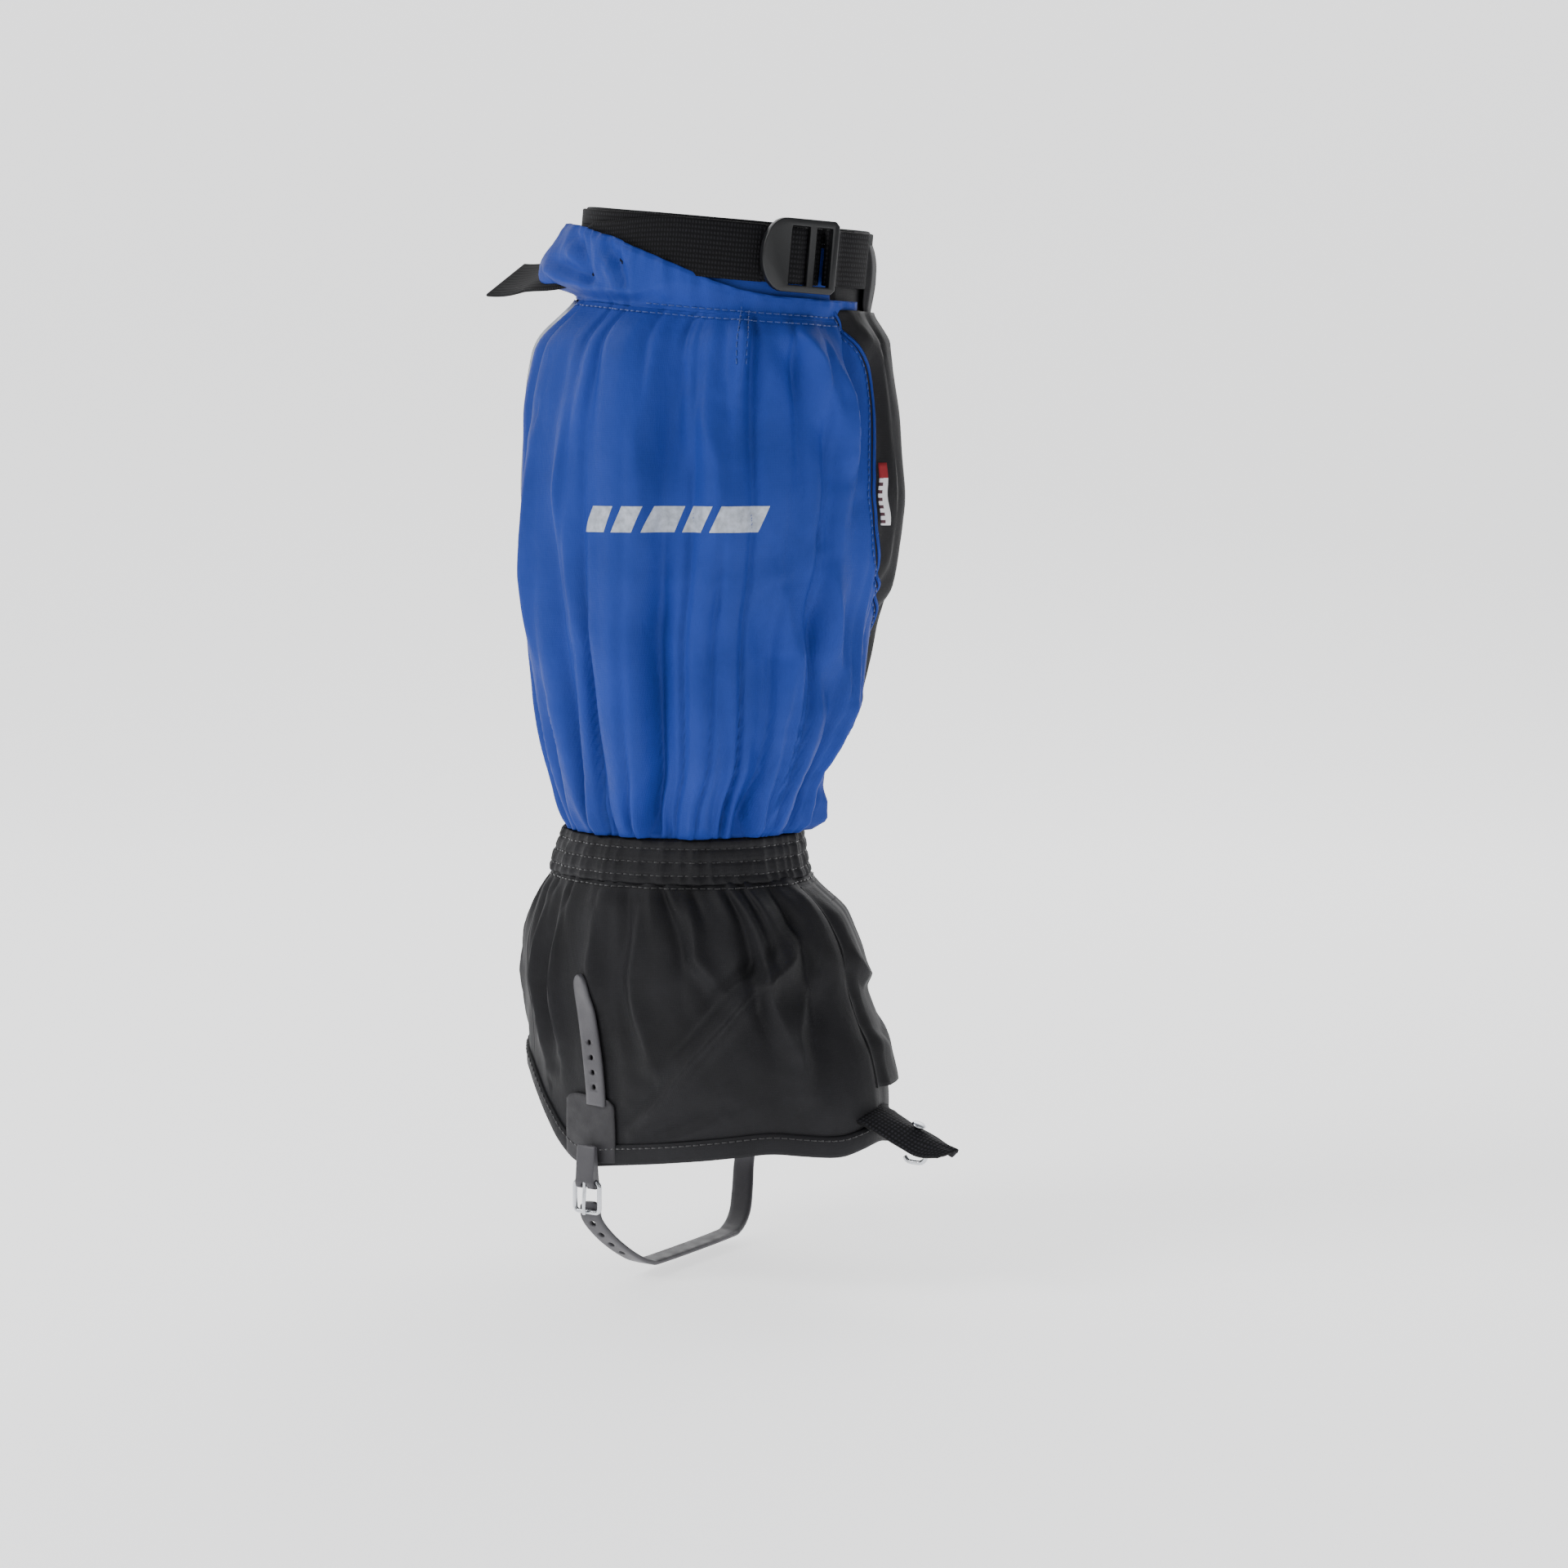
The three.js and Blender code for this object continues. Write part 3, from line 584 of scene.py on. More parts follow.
upperFolds = {
    # gathers over the ankle elastic, and under the cuff for the ones named cinch
    "fine": pleats(46, 0.022, 0.0042, 3, lean=60, sharp=1.4),
    "middle": pleats(21, 0.06, 0.0078, 11, lean=40, widen=1.5),
    "long": pleats(14, 0.16, 0.0068, 23, lean=25, widen=1.6),
    "wrinkles": pleats(34, 0.19, -0.0048, 77, lean=22, thin=0.24, widen=1.3),
    "cinchFine": pleats(38, 0.016, 0.0026, 31, lean=50, sharp=1.4),
    "cinchLong": pleats(15, 0.055, 0.0042, 41, lean=60, widen=1.6),
    "cinchValley": pleats(24, 0.1, -0.0046, 87, lean=50, thin=0.3, widen=1.3),
    "valley": pleats(30, 0.075, -0.0078, 57, lean=45, thin=0.42, widen=1.1),
    "valleyLong": pleats(13, 0.15, -0.0082, 63, lean=30, thin=0.26, widen=1.4),
    # how far the cloth is drawn in over the toe side above the ankle elastic
    "waist": [
        (0.002, 0), (0.015, 0.0035), (0.022, 0.0085), (0.03, 0.0115), (0.038, 0.009), (0.047, 0.004),
        (0.06, 0),
    ],
    "waistAngle": 26,
    "waistSpread": 42,
    "clouds": [(0.0016, 0.03, 2.2, 4.0), (0.0008, 0.011, 2.5, 9.0)],  # height, size, stretch and seed
    "deepest": -0.006,
    "excess": 0.3,  # the share that folds deeper than that keep
    "creaseGain": 2.1,
    "blouse": 0.0012,  # how far the cloth bags out over the ankle elastic
    "creases": [
        fold(0.004, 0.0024, (-47, 0.243), (-45, 0.225), (-47, 0.2)),
        fold(0.006, 0.0032, (-32, 0.238), (-20, 0.215), (-9, 0.175)),
        fold(0.005, 0.0026, (-18, 0.232), (-9, 0.2), (-6, 0.16), side=-1),
        fold(0.007, 0.0022, (-60, 0.2), (-52, 0.17), (-50, 0.12)),
        fold(0.008, 0.0022, (-72, 0.225), (-76, 0.18), (-72, 0.12), side=-1),
        fold(0.008, 0.0024, (-100, 0.215), (-104, 0.16), (-98, 0.1)),
        fold(0.007, 0.0024, (-120, 0.18), (-124, 0.12), (-118, 0.06)),
        fold(0.007, 0.003, (-30, 0.12), (-22, 0.085), (-25, 0.05)),
        fold(0.006, 0.003, (-14, 0.13), (-5, 0.09), (4, 0.06)),
        fold(0.008, 0.0026, (60, 0.22), (70, 0.17), (66, 0.1)),
        fold(0.008, 0.0026, (110, 0.21), (102, 0.15), (108, 0.08)),
        fold(0.008, 0.0026, (160, 0.2), (168, 0.14), (162, 0.07)),
        fold(0.008, 0.0026, (200, 0.19), (194, 0.13), (199, 0.07)),
    ],
}


def smoothStep(value, low, high):
    t = np.clip((value - low) / (high - low), 0, 1)
    return t * t * (3 - 2 * t)


def rimDrop(angle, z):
    # distance below the plane of the rim, along its axis
    spots = legSpots(angle, z, 0)
    return -((spots - rimCentre) @ rimAxis)


def upperSpots(angle, z, out=0.0):
    # the upper's surface with all its folds
    above = np.maximum(z - ankleTop, 0)
    below = np.maximum(rimDrop(angle, z) - cuffSetup["band"], 0)
    low = ("fine", "middle", "long", "wrinkles", "valley", "valleyLong")
    high = ("cinchFine", "cinchLong", "cinchValley")
    folds = sum(gathers(angle, above, upperFolds[k]) for k in low)
    folds += sum(gathers(angle, below, upperFolds[k]) for k in high)
    folds = folds + creasesOf(angle, z, upperFolds) + cloudsOf(angle, z, upperFolds)
    band = cuffSetup["band"]
    held = smoothStep(rimDrop(angle, z), band - cuffSetup["before"], band + cuffSetup["after"])
    hem = smoothStep(above, -0.001, 0.006)
    bag = upperFolds["blouse"] * np.exp(-(((above - 0.012) / 0.011) ** 2))
    front = np.exp(-((wrap(angle - upperFolds["waistAngle"]) / upperFolds["waistSpread"]) ** 2))
    waist = front * np.interp(z, *zip(*upperFolds["waist"]))
    # valleys that meet don't add up in full, and none goes inside the ankle casing at the hem
    deepest = upperFolds["deepest"]
    folds = np.where(folds < deepest, deepest + upperFolds["excess"] * (folds - deepest), folds)
    total = folds * held * (0.35 + 0.65 * hem) + bag - waist
    total = np.maximum(total, -0.0006 - 0.45 * above)
    return legSpots(angle, z, out + total)


# ---- the two upper panels ----
upperSetup = {
    "wall": 0.0005,
    "across": 0.9,  # degrees between columns
    "rise": 0.0019,
    "aboveAnkle": 0.0006,
    "underBinding": 0.0015,  # how far the cloth goes up into the binding
    "seamGap": 3.0,  # degrees between the two panels' front edges
    "backSeam": -139.0,
    "backSwing": 26.0,
    "frontSeam": [  # (height, degrees)
        (0.29, -9), (0.24, -8), (0.229, -3), (0.215, 4), (0.2, 5), (0.157, 3), (0.122, 8), (0.1, 22),
        (0.06, 27), (0.0, 22),
    ],
}


def seamAngle(z):
    table = sorted(upperSetup["frontSeam"])
    heights = np.arange(-0.01, 0.3, 0.002)
    return np.interp(z, heights, smoothed(np.interp(heights, *zip(*table)), np.hanning(13)))


def backAngle(z):
    # the back seam swings towards the heel as the leg narrows
    return upperSetup["backSeam"] - upperSetup["backSwing"] * (1 - smoothStep(z, 0.01, 0.13))


def rimLine(angle, drop):
    # height of the leg surface where it meets a plane below the rim
    spots = rimSpots(angle, -drop, 0.0)
    return spots[..., 2]


def edgeAt(edge, place):
    return edge(place) if callable(edge) else edge + 0 * place


def between(low, high, share, place):
    start = edgeAt(low, place)
    return start + share * (edgeAt(high, place) - start)


def panelGrid(sides, ends, spots, setup):
    # sides are two angles, or functions of the height; ends are two heights, or functions of the angle
    middle = 0.1
    columns = int(float(np.mean(edgeAt(sides[1], middle) - edgeAt(sides[0], middle))) / setup["across"]) + 1
    tall = float(np.mean(edgeAt(ends[1], 0.0)) - np.mean(edgeAt(ends[0], 0.0)))
    rows = int(abs(tall) / setup["rise"]) + 2
    u = np.linspace(0, 1, columns)[None, :]
    v = np.linspace(0, 1, rows)[:, None]
    angle = between(*sides, u, between(*ends, v, 0.0))
    z = between(*ends, v, angle)
    return spots(between(*sides, u, z), z)


def makeUpper():
    def top(angle):
        return rimLine(angle, rimSetup["binding"] - upperSetup["underBinding"])

    def innerFront(z):
        return seamAngle(z) + upperSetup["seamGap"]

    def innerBack(z):
        return 360 + backAngle(z)

    ends = (ankleTop + upperSetup["aboveAnkle"], top)
    wall = upperSetup["wall"]
    spots = panelGrid((backAngle, seamAngle), ends, upperSpots, upperSetup)
    outer = gridPiece("upperOuterPanel", spots, wall, blue, "gaiter", ["upper_outer_panel"])
    spots = panelGrid((innerFront, innerBack), ends, upperSpots, upperSetup)
    inner = gridPiece("upperInnerPanel", spots, wall, black, "gaiter", ["upper_inner_panel"])


# ---- ribbons, rings and wires ----
def loftMesh(name, rings, closed=False, smooth=True):
    # skins a row of closed rings, with flat caps when the row is open
    count, around = rings.shape[:2]
    spans = count if closed else count - 1
    faces, uvs = [], []
    middle = rings[count // 2]
    lap = np.append(0, np.cumsum(np.linalg.norm(np.roll(middle, -1, 0) - middle, axis=1)))
    centres = rings.mean(axis=1)
    steps = np.linalg.norm(np.roll(centres, -1, 0) - centres, axis=1)
    run = np.append(0, np.cumsum(steps))
    for i in range(spans):
        n = (i + 1) % count
        for j in range(around):
            m = (j + 1) % around
            faces.append((i * around + j, i * around + m, n * around + m, n * around + j))
            uvs += [(run[i], lap[j]), (run[i], lap[j + 1]), (run[i + 1], lap[j + 1]), (run[i + 1], lap[j])]
    if not closed:
        faces.append(tuple(reversed(range(around))))
        faces.append(tuple(range((count - 1) * around, count * around)))
        uvs += [(0.0, lap[j]) for j in reversed(range(around))] + [(run[-2], lap[j]) for j in range(around)]
    mesh = bpy.data.meshes.new(name)
    mesh.from_pydata(rings.reshape(-1, 3).tolist(), [], faces)
    layer = mesh.uv_layers.new(name="cloth")
    layer.data.foreach_set("uv", np.array(uvs, dtype=np.float32).ravel())
    flags = [smooth] * len(mesh.polygons)
    if not closed:
        flags[-2:] = [False, False]
    mesh.polygons.foreach_set("use_smooth", flags)
    mesh.update()
    return mesh


def unit(vectors):
    return vectors / np.maximum(np.linalg.norm(vectors, axis=-1, keepdims=True), 1e-12)


def flatSection(width, thick):
    # a strap's cross-section as (across, out), with rolled selvages
    half, side = width / 2, thick / 2
    turn = np.radians(np.linspace(-90, 90, 5))
    right = [(half - side + side * math.cos(t), side * math.sin(t)) for t in turn]
    left = [(-x, -y) for x, y in right]
    over = [(x * half, side) for x in (0.5, 0.0, -0.5)]
    under = [(-x, -side) for x, _ in over]
    return np.array(right + over + left + under)


def ribbonRings(centre, across, out, width, thick):
    wide = np.broadcast_to(np.asarray(width, float), (len(centre),))
    rings = []
    for k in range(len(centre)):
        section = flatSection(wide[k], thick)
        rings.append(centre[k] + section[:, :1] * across[k] + section[:, 1:] * out[k])
    rings = np.array(rings)
    run = centre[1] - centre[0]
    if np.dot(np.cross(across[0], out[0]), run) > 0:
        return rings
    return rings[:, ::-1]


def catmull(points, count):
    # evenly spaced spots on a smooth path through the points
    p = np.array(points, float)
    p = np.vstack([2 * p[0] - p[1], p, 2 * p[-1] - p[-2]])
    dense = []
    for i in range(1, len(p) - 2):
        t = np.linspace(0, 1, 24, endpoint=False)[:, None]
        a, b, c, d = p[i - 1], p[i], p[i + 1], p[i + 2]
        square, cube = 2 * a - 5 * b + 4 * c - d, 3 * b - a - 3 * c + d
        dense.append(0.5 * (2 * b + (c - a) * t + square * t**2 + cube * t**3))
    dense = np.vstack(dense + [p[-2][None]])
    run = np.append(0, np.cumsum(np.linalg.norm(np.diff(dense, axis=0), axis=1)))
    want = np.linspace(0, run[-1], count)
    return np.stack([np.interp(want, run, dense[:, k]) for k in range(p.shape[1])], 1)


def wireRings(path, radius, closed=False, sides=12):
    # a round wire along a path, carried along without twisting
    count = len(path)
    if closed:
        run = unit(np.roll(path, -1, 0) - np.roll(path, 1, 0))
    else:
        run = unit(np.gradient(path, axis=0))
    guess = np.array([0.0, 0.0, 1.0]) if abs(run[0][2]) < 0.8 else np.array([1.0, 0.0, 0.0])
    side = unit(np.cross(run[0], guess))
    rings = []
    turn = np.linspace(0, 2 * np.pi, sides, endpoint=False)
    for k in range(count):
        side = unit(side - run[k] * np.dot(side, run[k]))
        other = np.cross(run[k], side)
        rings.append(path[k] + radius * (np.outer(np.cos(turn), side) + np.outer(np.sin(turn), other)))
    return np.array(rings)


# ---- the rim: binding, strap, lock and the cloth that holds the strap ----
rimSetup = {
    "binding": 0.0092,  # how tall the folded binding is
    "bindingThick": 0.0024,
    "width": 0.025,
    "thick": 0.0014,
    "strapOut": 0.0016,
    "tailOut": 0.0036,
    "strapMiddle": -0.0135,
    "strapFrom": 2.0,
    "strapTo": 343.6,
    "tailFrom": -42.0,
    "tailLeaves": -116.0,
    "tailLength": 0.084,
    "droop": 0.018,
    "twist": 50.0,
    "sink": 0.005,
    "mouth": [  # (degrees, drop below the rim) of the tunnel's upper edge
        (-160, 0.012), (-148, 0.0085), (-136, 0.0075), (-118, 0.009), (-100, 0.0125), (-78, 0.0205),
        (-60, 0.0275), (-49, 0.0305), (-36, 0.032), (9, 0.032),
    ],
    "tucks": [
        fold(0.0032, -0.0036, (-140, 0.264), (-124, 0.258), (-104, 0.249)),
        fold(0.0032, -0.0036, (-128, 0.275), (-119, 0.266), (-113, 0.252)),
        fold(0.0032, -0.0036, (-104, 0.268), (-96, 0.257), (-92, 0.246)),
        fold(0.0032, -0.0036, (-146, 0.268), (-138, 0.255), (-128, 0.247)),
    ],
    "tunnelFrom": -158.0,
    "tunnelTo": 9.0,
    "tunnelLow": 0.0415,  # drops below the rim, as the next two
    "casingLow": 0.0395,
    "casingHigh": 0.0035,
    "casingFrom": 17.0,
    "casingTo": 205.0,
    "clothWall": 0.0006,
    "bulge": 0.0054,  # how far the tunnel stands out over the strap
    "bulgeBehind": 0.0016,
    "bag": 0.012,  # the pocket of cloth at the back of the tunnel
    "bagDrop": 0.0285,
    "bagTall": 0.0135,
    "casingBulge": 0.0039,
    "tunnelFolds": pleats(64, 0.03, 0.0029, 77, lean=150, sharp=1.4),
    "casingFolds": pleats(64, 0.022, 0.0014, 91, lean=90, sharp=1.5),
}


def rimWave(angle, seed=2.0):
    # a slight unevenness round the rim
    turn = np.radians(angle)
    return np.array([noise.noise(Vector((1.6 * math.cos(t), 1.6 * math.sin(t), seed))) for t in turn])


def rimPath(angle, height, out):
    # centre line, up and out directions for something that runs round the rim
    angle = np.asarray(angle, float)
    places = np.broadcast(angle, height, out)
    centre = np.array([rimSpots(np.array(a), np.array(h), np.array(o)) for a, h, o in places])
    turn = np.radians(angle)
    outward = np.outer(np.cos(turn), rimForward) + np.outer(np.sin(turn), [0, 1, 0])
    up = np.tile(rimAxis, (len(angle), 1))
    return centre, up, outward


def makeBinding():
    # folded webbing over the cloth's edge
    tall, thick = rimSetup["binding"], rimSetup["bindingThick"]
    angle = np.linspace(0, 360, 240, endpoint=False)
    wave = rimWave(angle) * 0.0006
    centre, up, out = rimPath(angle, -tall / 2 - 0.0001 + wave * 0.4, -0.0004 + wave)
    half, side = tall / 2, thick / 2
    section = [(-half, side * 0.75), (-half + 0.0005, side), (-0.3 * half, side * 1.02), (0.4 * half, side)]
    section += [(half - 0.0011, side * 0.95), (half - 0.0003, side * 0.6), (half, 0.0)]
    section += [(h, -o) for h, o in reversed(section[:-1])]
    section = np.array(section)
    rings = np.array([c + section[:, :1] * u + section[:, 1:] * o for c, u, o in zip(centre, up, out)])
    mesh = loftMesh("rimBinding", rings, closed=True)
    addPiece("rimBinding", mesh, webbing, "gaiter", ["rim_binding"])


def makeStrap():
    # the webbing round the rim, drawn in a little where it goes under the lock
    angle = np.linspace(rimSetup["strapFrom"], rimSetup["strapTo"], 260)
    wave = rimWave(angle, 5.0)
    dip = 0.0006 * smoothStep(angle, 312, 330)
    height, away = rimSetup["strapMiddle"] + wave * 0.0006, rimSetup["strapOut"] + wave * 0.0003
    centre, up, out = rimPath(angle, height, away)
    centre = centre - out * dip[:, None]
    rings = ribbonRings(centre, up, out, rimSetup["width"], rimSetup["thick"])
    mesh = loftMesh("topStrap", rings)
    addPiece("topStrap", mesh, webbing, "gaiter", ["top_strap"])


def makeTail():
    # the free end follows the rim, leaves it, droops and turns over
    around = np.linspace(rimSetup["tailFrom"], rimSetup["tailLeaves"], 70)
    sink = rimSetup["sink"] * (1 - smoothStep(around, rimSetup["tailLeaves"], -72))
    centre, up, out = rimPath(around, rimSetup["strapMiddle"] - 0.0003 - sink, rimSetup["tailOut"])
    count = 60
    share = np.linspace(0, 1, count + 1)[1:]
    run = unit(np.cross(out[-1], up[-1]))
    if np.dot(run, centre[-1] - centre[-2]) < 0:
        run = -run
    length = rimSetup["tailLength"]
    free = centre[-1] + np.outer(share * length, run)
    free += np.outer(0.004 * share**2 + 0.0014 * np.sin(5 * share), out[-1])
    free[:, 2] -= (1 - (1 - share) ** 1.8) * rimSetup["droop"]
    turn = np.radians(rimSetup["twist"]) * smoothStep(share, 0.0, 0.6)
    freeUp = np.outer(np.cos(turn), up[-1]) - np.outer(np.sin(turn), out[-1])
    freeOut = np.outer(np.cos(turn), out[-1]) + np.outer(np.sin(turn), up[-1])
    centre, up, out = np.vstack([centre, free]), np.vstack([up, freeUp]), np.vstack([out, freeOut])
    rings = ribbonRings(centre, up, out, rimSetup["width"], rimSetup["thick"])
    mesh = loftMesh("topStrapTail", rings)
    addPiece("topStrapTail", mesh, webbing, "strap_tail", ["top_strap_tail"])


def makeTunnel():
    # the blue panel's cloth carried over the strap, gathered, with a slanting mouth
    angle = np.linspace(rimSetup["tunnelFrom"], rimSetup["tunnelTo"], 130)[None, :]
    v = np.linspace(0, 1, 34)[:, None]
    edge = np.interp(angle, *zip(*rimSetup["mouth"]))
    drop = rimSetup["tunnelLow"] + v * (edge - rimSetup["tunnelLow"])
    folds = gathers(angle, np.abs(drop - edge), rimSetup["tunnelFolds"])
    left = smoothStep(-angle, 66, 92)
    rise = smoothStep(v / (0.75 - 0.5 * left), 0.0, 1.0)
    bulge = (rimSetup["bulge"] + rimSetup["bulgeBehind"] * left) * rise - 0.0012 * smoothStep(v, 0.9, 1.0)
    ends = smoothStep(angle, rimSetup["tunnelFrom"], rimSetup["tunnelFrom"] + 2) * 0.6 + 0.4
    over = smoothStep(-angle, 112, 142)
    bag = np.exp(-(((drop - rimSetup["bagDrop"]) / rimSetup["bagTall"]) ** 2))
    bag = rimSetup["bag"] * over * bag * smoothStep(v, 0.0, 0.2)
    z = rimLine(angle + 0 * drop, drop)
    for line in rimSetup["tucks"]:
        bag = bag + crease(angle, z, line)
    puff = (bulge + folds * smoothStep(v, 0.05, 0.3) + bag) * ends
    puff = np.maximum(puff, 0.0002 + 0.0042 * smoothStep(v, 0.35, 0.8) * ends) + 0.0004
    puff *= 1 - 0.7 * smoothStep(angle, -80, -48) * (1 - 0.35 * v)
    spots = upperSpots(angle + 0 * drop, z, puff)
    wall = rimSetup["clothWall"]
    tunnel = gridPiece("strapTunnel", spots, wall, blue, "gaiter", ["strap_tunnel"])


def makeCasing():
    # the black casing over the strap on the inner side, gathered at both edges
    angle = np.linspace(rimSetup["casingFrom"], rimSetup["casingTo"], 250)[None, :]
    v = np.linspace(0, 1, 30)[:, None]
    drop = rimSetup["casingLow"] + v * (rimSetup["casingHigh"] - rimSetup["casingLow"])
    folds = gathers(angle, np.minimum(drop, 0.04 - drop) + 0.006, rimSetup["casingFolds"])
    bulge = rimSetup["casingBulge"] * np.sin(np.pi * np.clip(v, 0.0, 1)) ** 0.45
    ends = smoothStep(angle, rimSetup["casingFrom"], rimSetup["casingFrom"] + 3)
    ends = ends * (1 - 0.4 * smoothStep(angle, rimSetup["casingTo"] - 3, rimSetup["casingTo"]))
    out = 0.0007 + (bulge + folds * np.sin(np.pi * v)) * (0.5 + 0.5 * ends)
    z = rimLine(angle + 0 * drop, drop)
    spots = upperSpots(angle + 0 * drop, z, out)
    wall = rimSetup["clothWall"]
    casing = gridPiece("strapCasing", spots, wall, black, "gaiter", ["strap_casing"])


lockSetup = {"bevel": 0.0006, "webWidth": 0.0245, "webThick": 0.0013}


def makeLock():
    # the CAD's ladder lock with its edges rounded off
    source = nodes["ladder_lock_buckle"]
    mesh = source.data.copy()
    mesh.transform(source.matrix_world)
    work = bmesh.new()
    work.from_mesh(mesh)
    bmesh.ops.remove_doubles(work, verts=work.verts, dist=1e-6)
    bmesh.ops.dissolve_limit(work, angle_limit=math.radians(4), verts=work.verts, edges=work.edges)
    work.to_mesh(mesh)
    work.free()
    mesh.materials.clear()
    piece = linkObject("ladderLock", mesh)
    bevel = piece.modifiers.new("bevel", "BEVEL")
    bevel.width = lockSetup["bevel"]
    bevel.segments = 3
    bevel.limit_method = "ANGLE"
    bevel.angle_limit = math.radians(32)
    made = settle(piece)
    made.materials.append(acetal)
    made.shade_smooth()
    made.set_sharp_from_angle(angle=math.radians(35))
    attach(piece, "strap_lock")
    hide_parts("ladder_lock_buckle")


def rimRibbon(name, path, width, thick, body, stands=(), count=60):
    # webbing that runs along (degrees, metres out) pairs at the strap's height
    flat = catmull([(math.radians(a) * rimRadius, o) for a, o in path], count)
    turn = flat[:, 0] / rimRadius
    outward = np.outer(np.cos(turn), rimForward) + np.outer(np.sin(turn), [0, 1, 0])
    centre = rimCentre + outward * (rimRadius + flat[:, 1:]) + rimAxis * rimSetup["strapMiddle"]
    up = np.tile(rimAxis, (count, 1))
    out = unit(np.cross(np.gradient(centre, axis=0), up))
    mesh = loftMesh(name, ribbonRings(centre, up, out, width, thick))
    addPiece(name, mesh, webbing, body, stands)


def makeAnchor():
    # the webbing loop that holds the lock, and the strap's turn round the lock's bar
    wide, thick = lockSetup["webWidth"], lockSetup["webThick"]
    hairpin = [(13, 0.0036), (4, 0.0035), (-6, 0.0037), (-10, 0.0045), (-12.6, 0.0065), (-14.2, 0.0068)]
    hairpin += [(-15.6, 0.0056), (-15.6, 0.0036), (-13.5, 0.0021), (-9, 0.0018), (2, 0.0016), (12, 0.0016)]
    rimRibbon("buckleAnchor", hairpin, wide, thick, "gaiter", ["buckle_anchor_webbing"])
    loop = [(-45, 0.0034), (-41, 0.004), (-37, 0.0058), (-33.5, 0.0078), (-30, 0.008), (-27, 0.0066)]
    loop += [(-25.4, 0.0042), (-26.5, 0.0024)]
    rimRibbon("lockWebbing", loop, wide - 0.0006, thick, "strap_lock")


makeUpper()
print("upper panels made")
makeBinding()
makeStrap()
makeTail()
makeTunnel()
makeCasing()
makeLock()
makeAnchor()
print("rim made")


# ---- closure: two flaps, their hook and loop tape, the snap and the label ----
closureSetup = {
    "flapOut": 0.0046,
    "flapWall": 0.0011,
    "tapeWall": 0.0007,
    "loopOut": 0.0013,
    "hookOut": 0.0029,
    "upperHigh": 0.2385,
    "upperLow": 0.024,
    "upperEnd": 38.0,
    "upperWide": 13.5,  # degrees from the seam to the free edge, at least
    "lowerHigh": -0.0225,
    "lowerLow": -0.1115,
    "lowerEnd": 31.0,
}


def flapOut(angle, start, end):
    # lifts off the panel just past the seam, and lies on the tapes
    rise = smoothStep(angle, start, start + 7)
    lip = 0.0007 * np.exp(-(((angle - end) / 1.6) ** 2))
    return 0.0006 + (closureSetup["flapOut"] - 0.0006) * rise - lip


def makeTapes(where, starts, end, ends, spotsOf):
    # the loop tape on the panel and the hook tape on the flap, both between the same ends
    setup = closureSetup
    tapes = (
        ("loop", setup["loopOut"], loopNap, "gaiter"),
        ("hook", setup["hookOut"], hookNap, where.lower() + "_flap"),
    )
    for kind, out, material, body in tapes:
        def spots(angle, z):
            return spotsOf(angle, z, out)

        grid = panelGrid((starts[kind], end), ends, spots, {"across": 1.2, "rise": 0.003})
        node = f"{kind}_tape_{where.lower()}"
        gridPiece(f"{kind}Tape{where}", grid, setup["tapeWall"], material, body, [node])


def makeUpperFlap():
    # the long flap over the closure, from its seam
    setup = closureSetup

    def start(z):
        return seamAngle(z) - 1.2

    def end(z):
        return np.maximum(setup["upperEnd"], seamAngle(z) + setup["upperWide"])

    waves = pleats(40, 0.05, 0.0016, 123, lean=60)

    def spots(angle, z):
        out = flapOut(angle, seamAngle(z), setup["upperEnd"])
        wave = 0.0011 * cloudy(angle, z, 0.02, 1.8, 31.0)
        wave = wave + gathers(angle, np.maximum(setup["upperHigh"] - z, 0), waves)
        wave = wave * smoothStep(angle, seamAngle(z), seamAngle(z) + 8)
        return upperSpots(angle, z, out + np.maximum(wave, -0.0007))

    ends = (setup["upperLow"], setup["upperHigh"])
    grid = panelGrid((start, end), ends, spots, {"across": 0.8, "rise": 0.0018})
    wall = setup["flapWall"]
    flap = gridPiece("frontFlapUpper", grid, wall, black, None, ["front_flap_upper"])
    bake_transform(flap)

    def loopFrom(z):
        return seamAngle(z) + 5.5

    def hookFrom(z):
        return seamAngle(z) + 11.0

    def tapeTo(z):
        return end(z) - 3.5

    makeTapes("Upper", {"loop": loopFrom, "hook": hookFrom}, tapeTo, (0.03, 0.203), upperSpots)


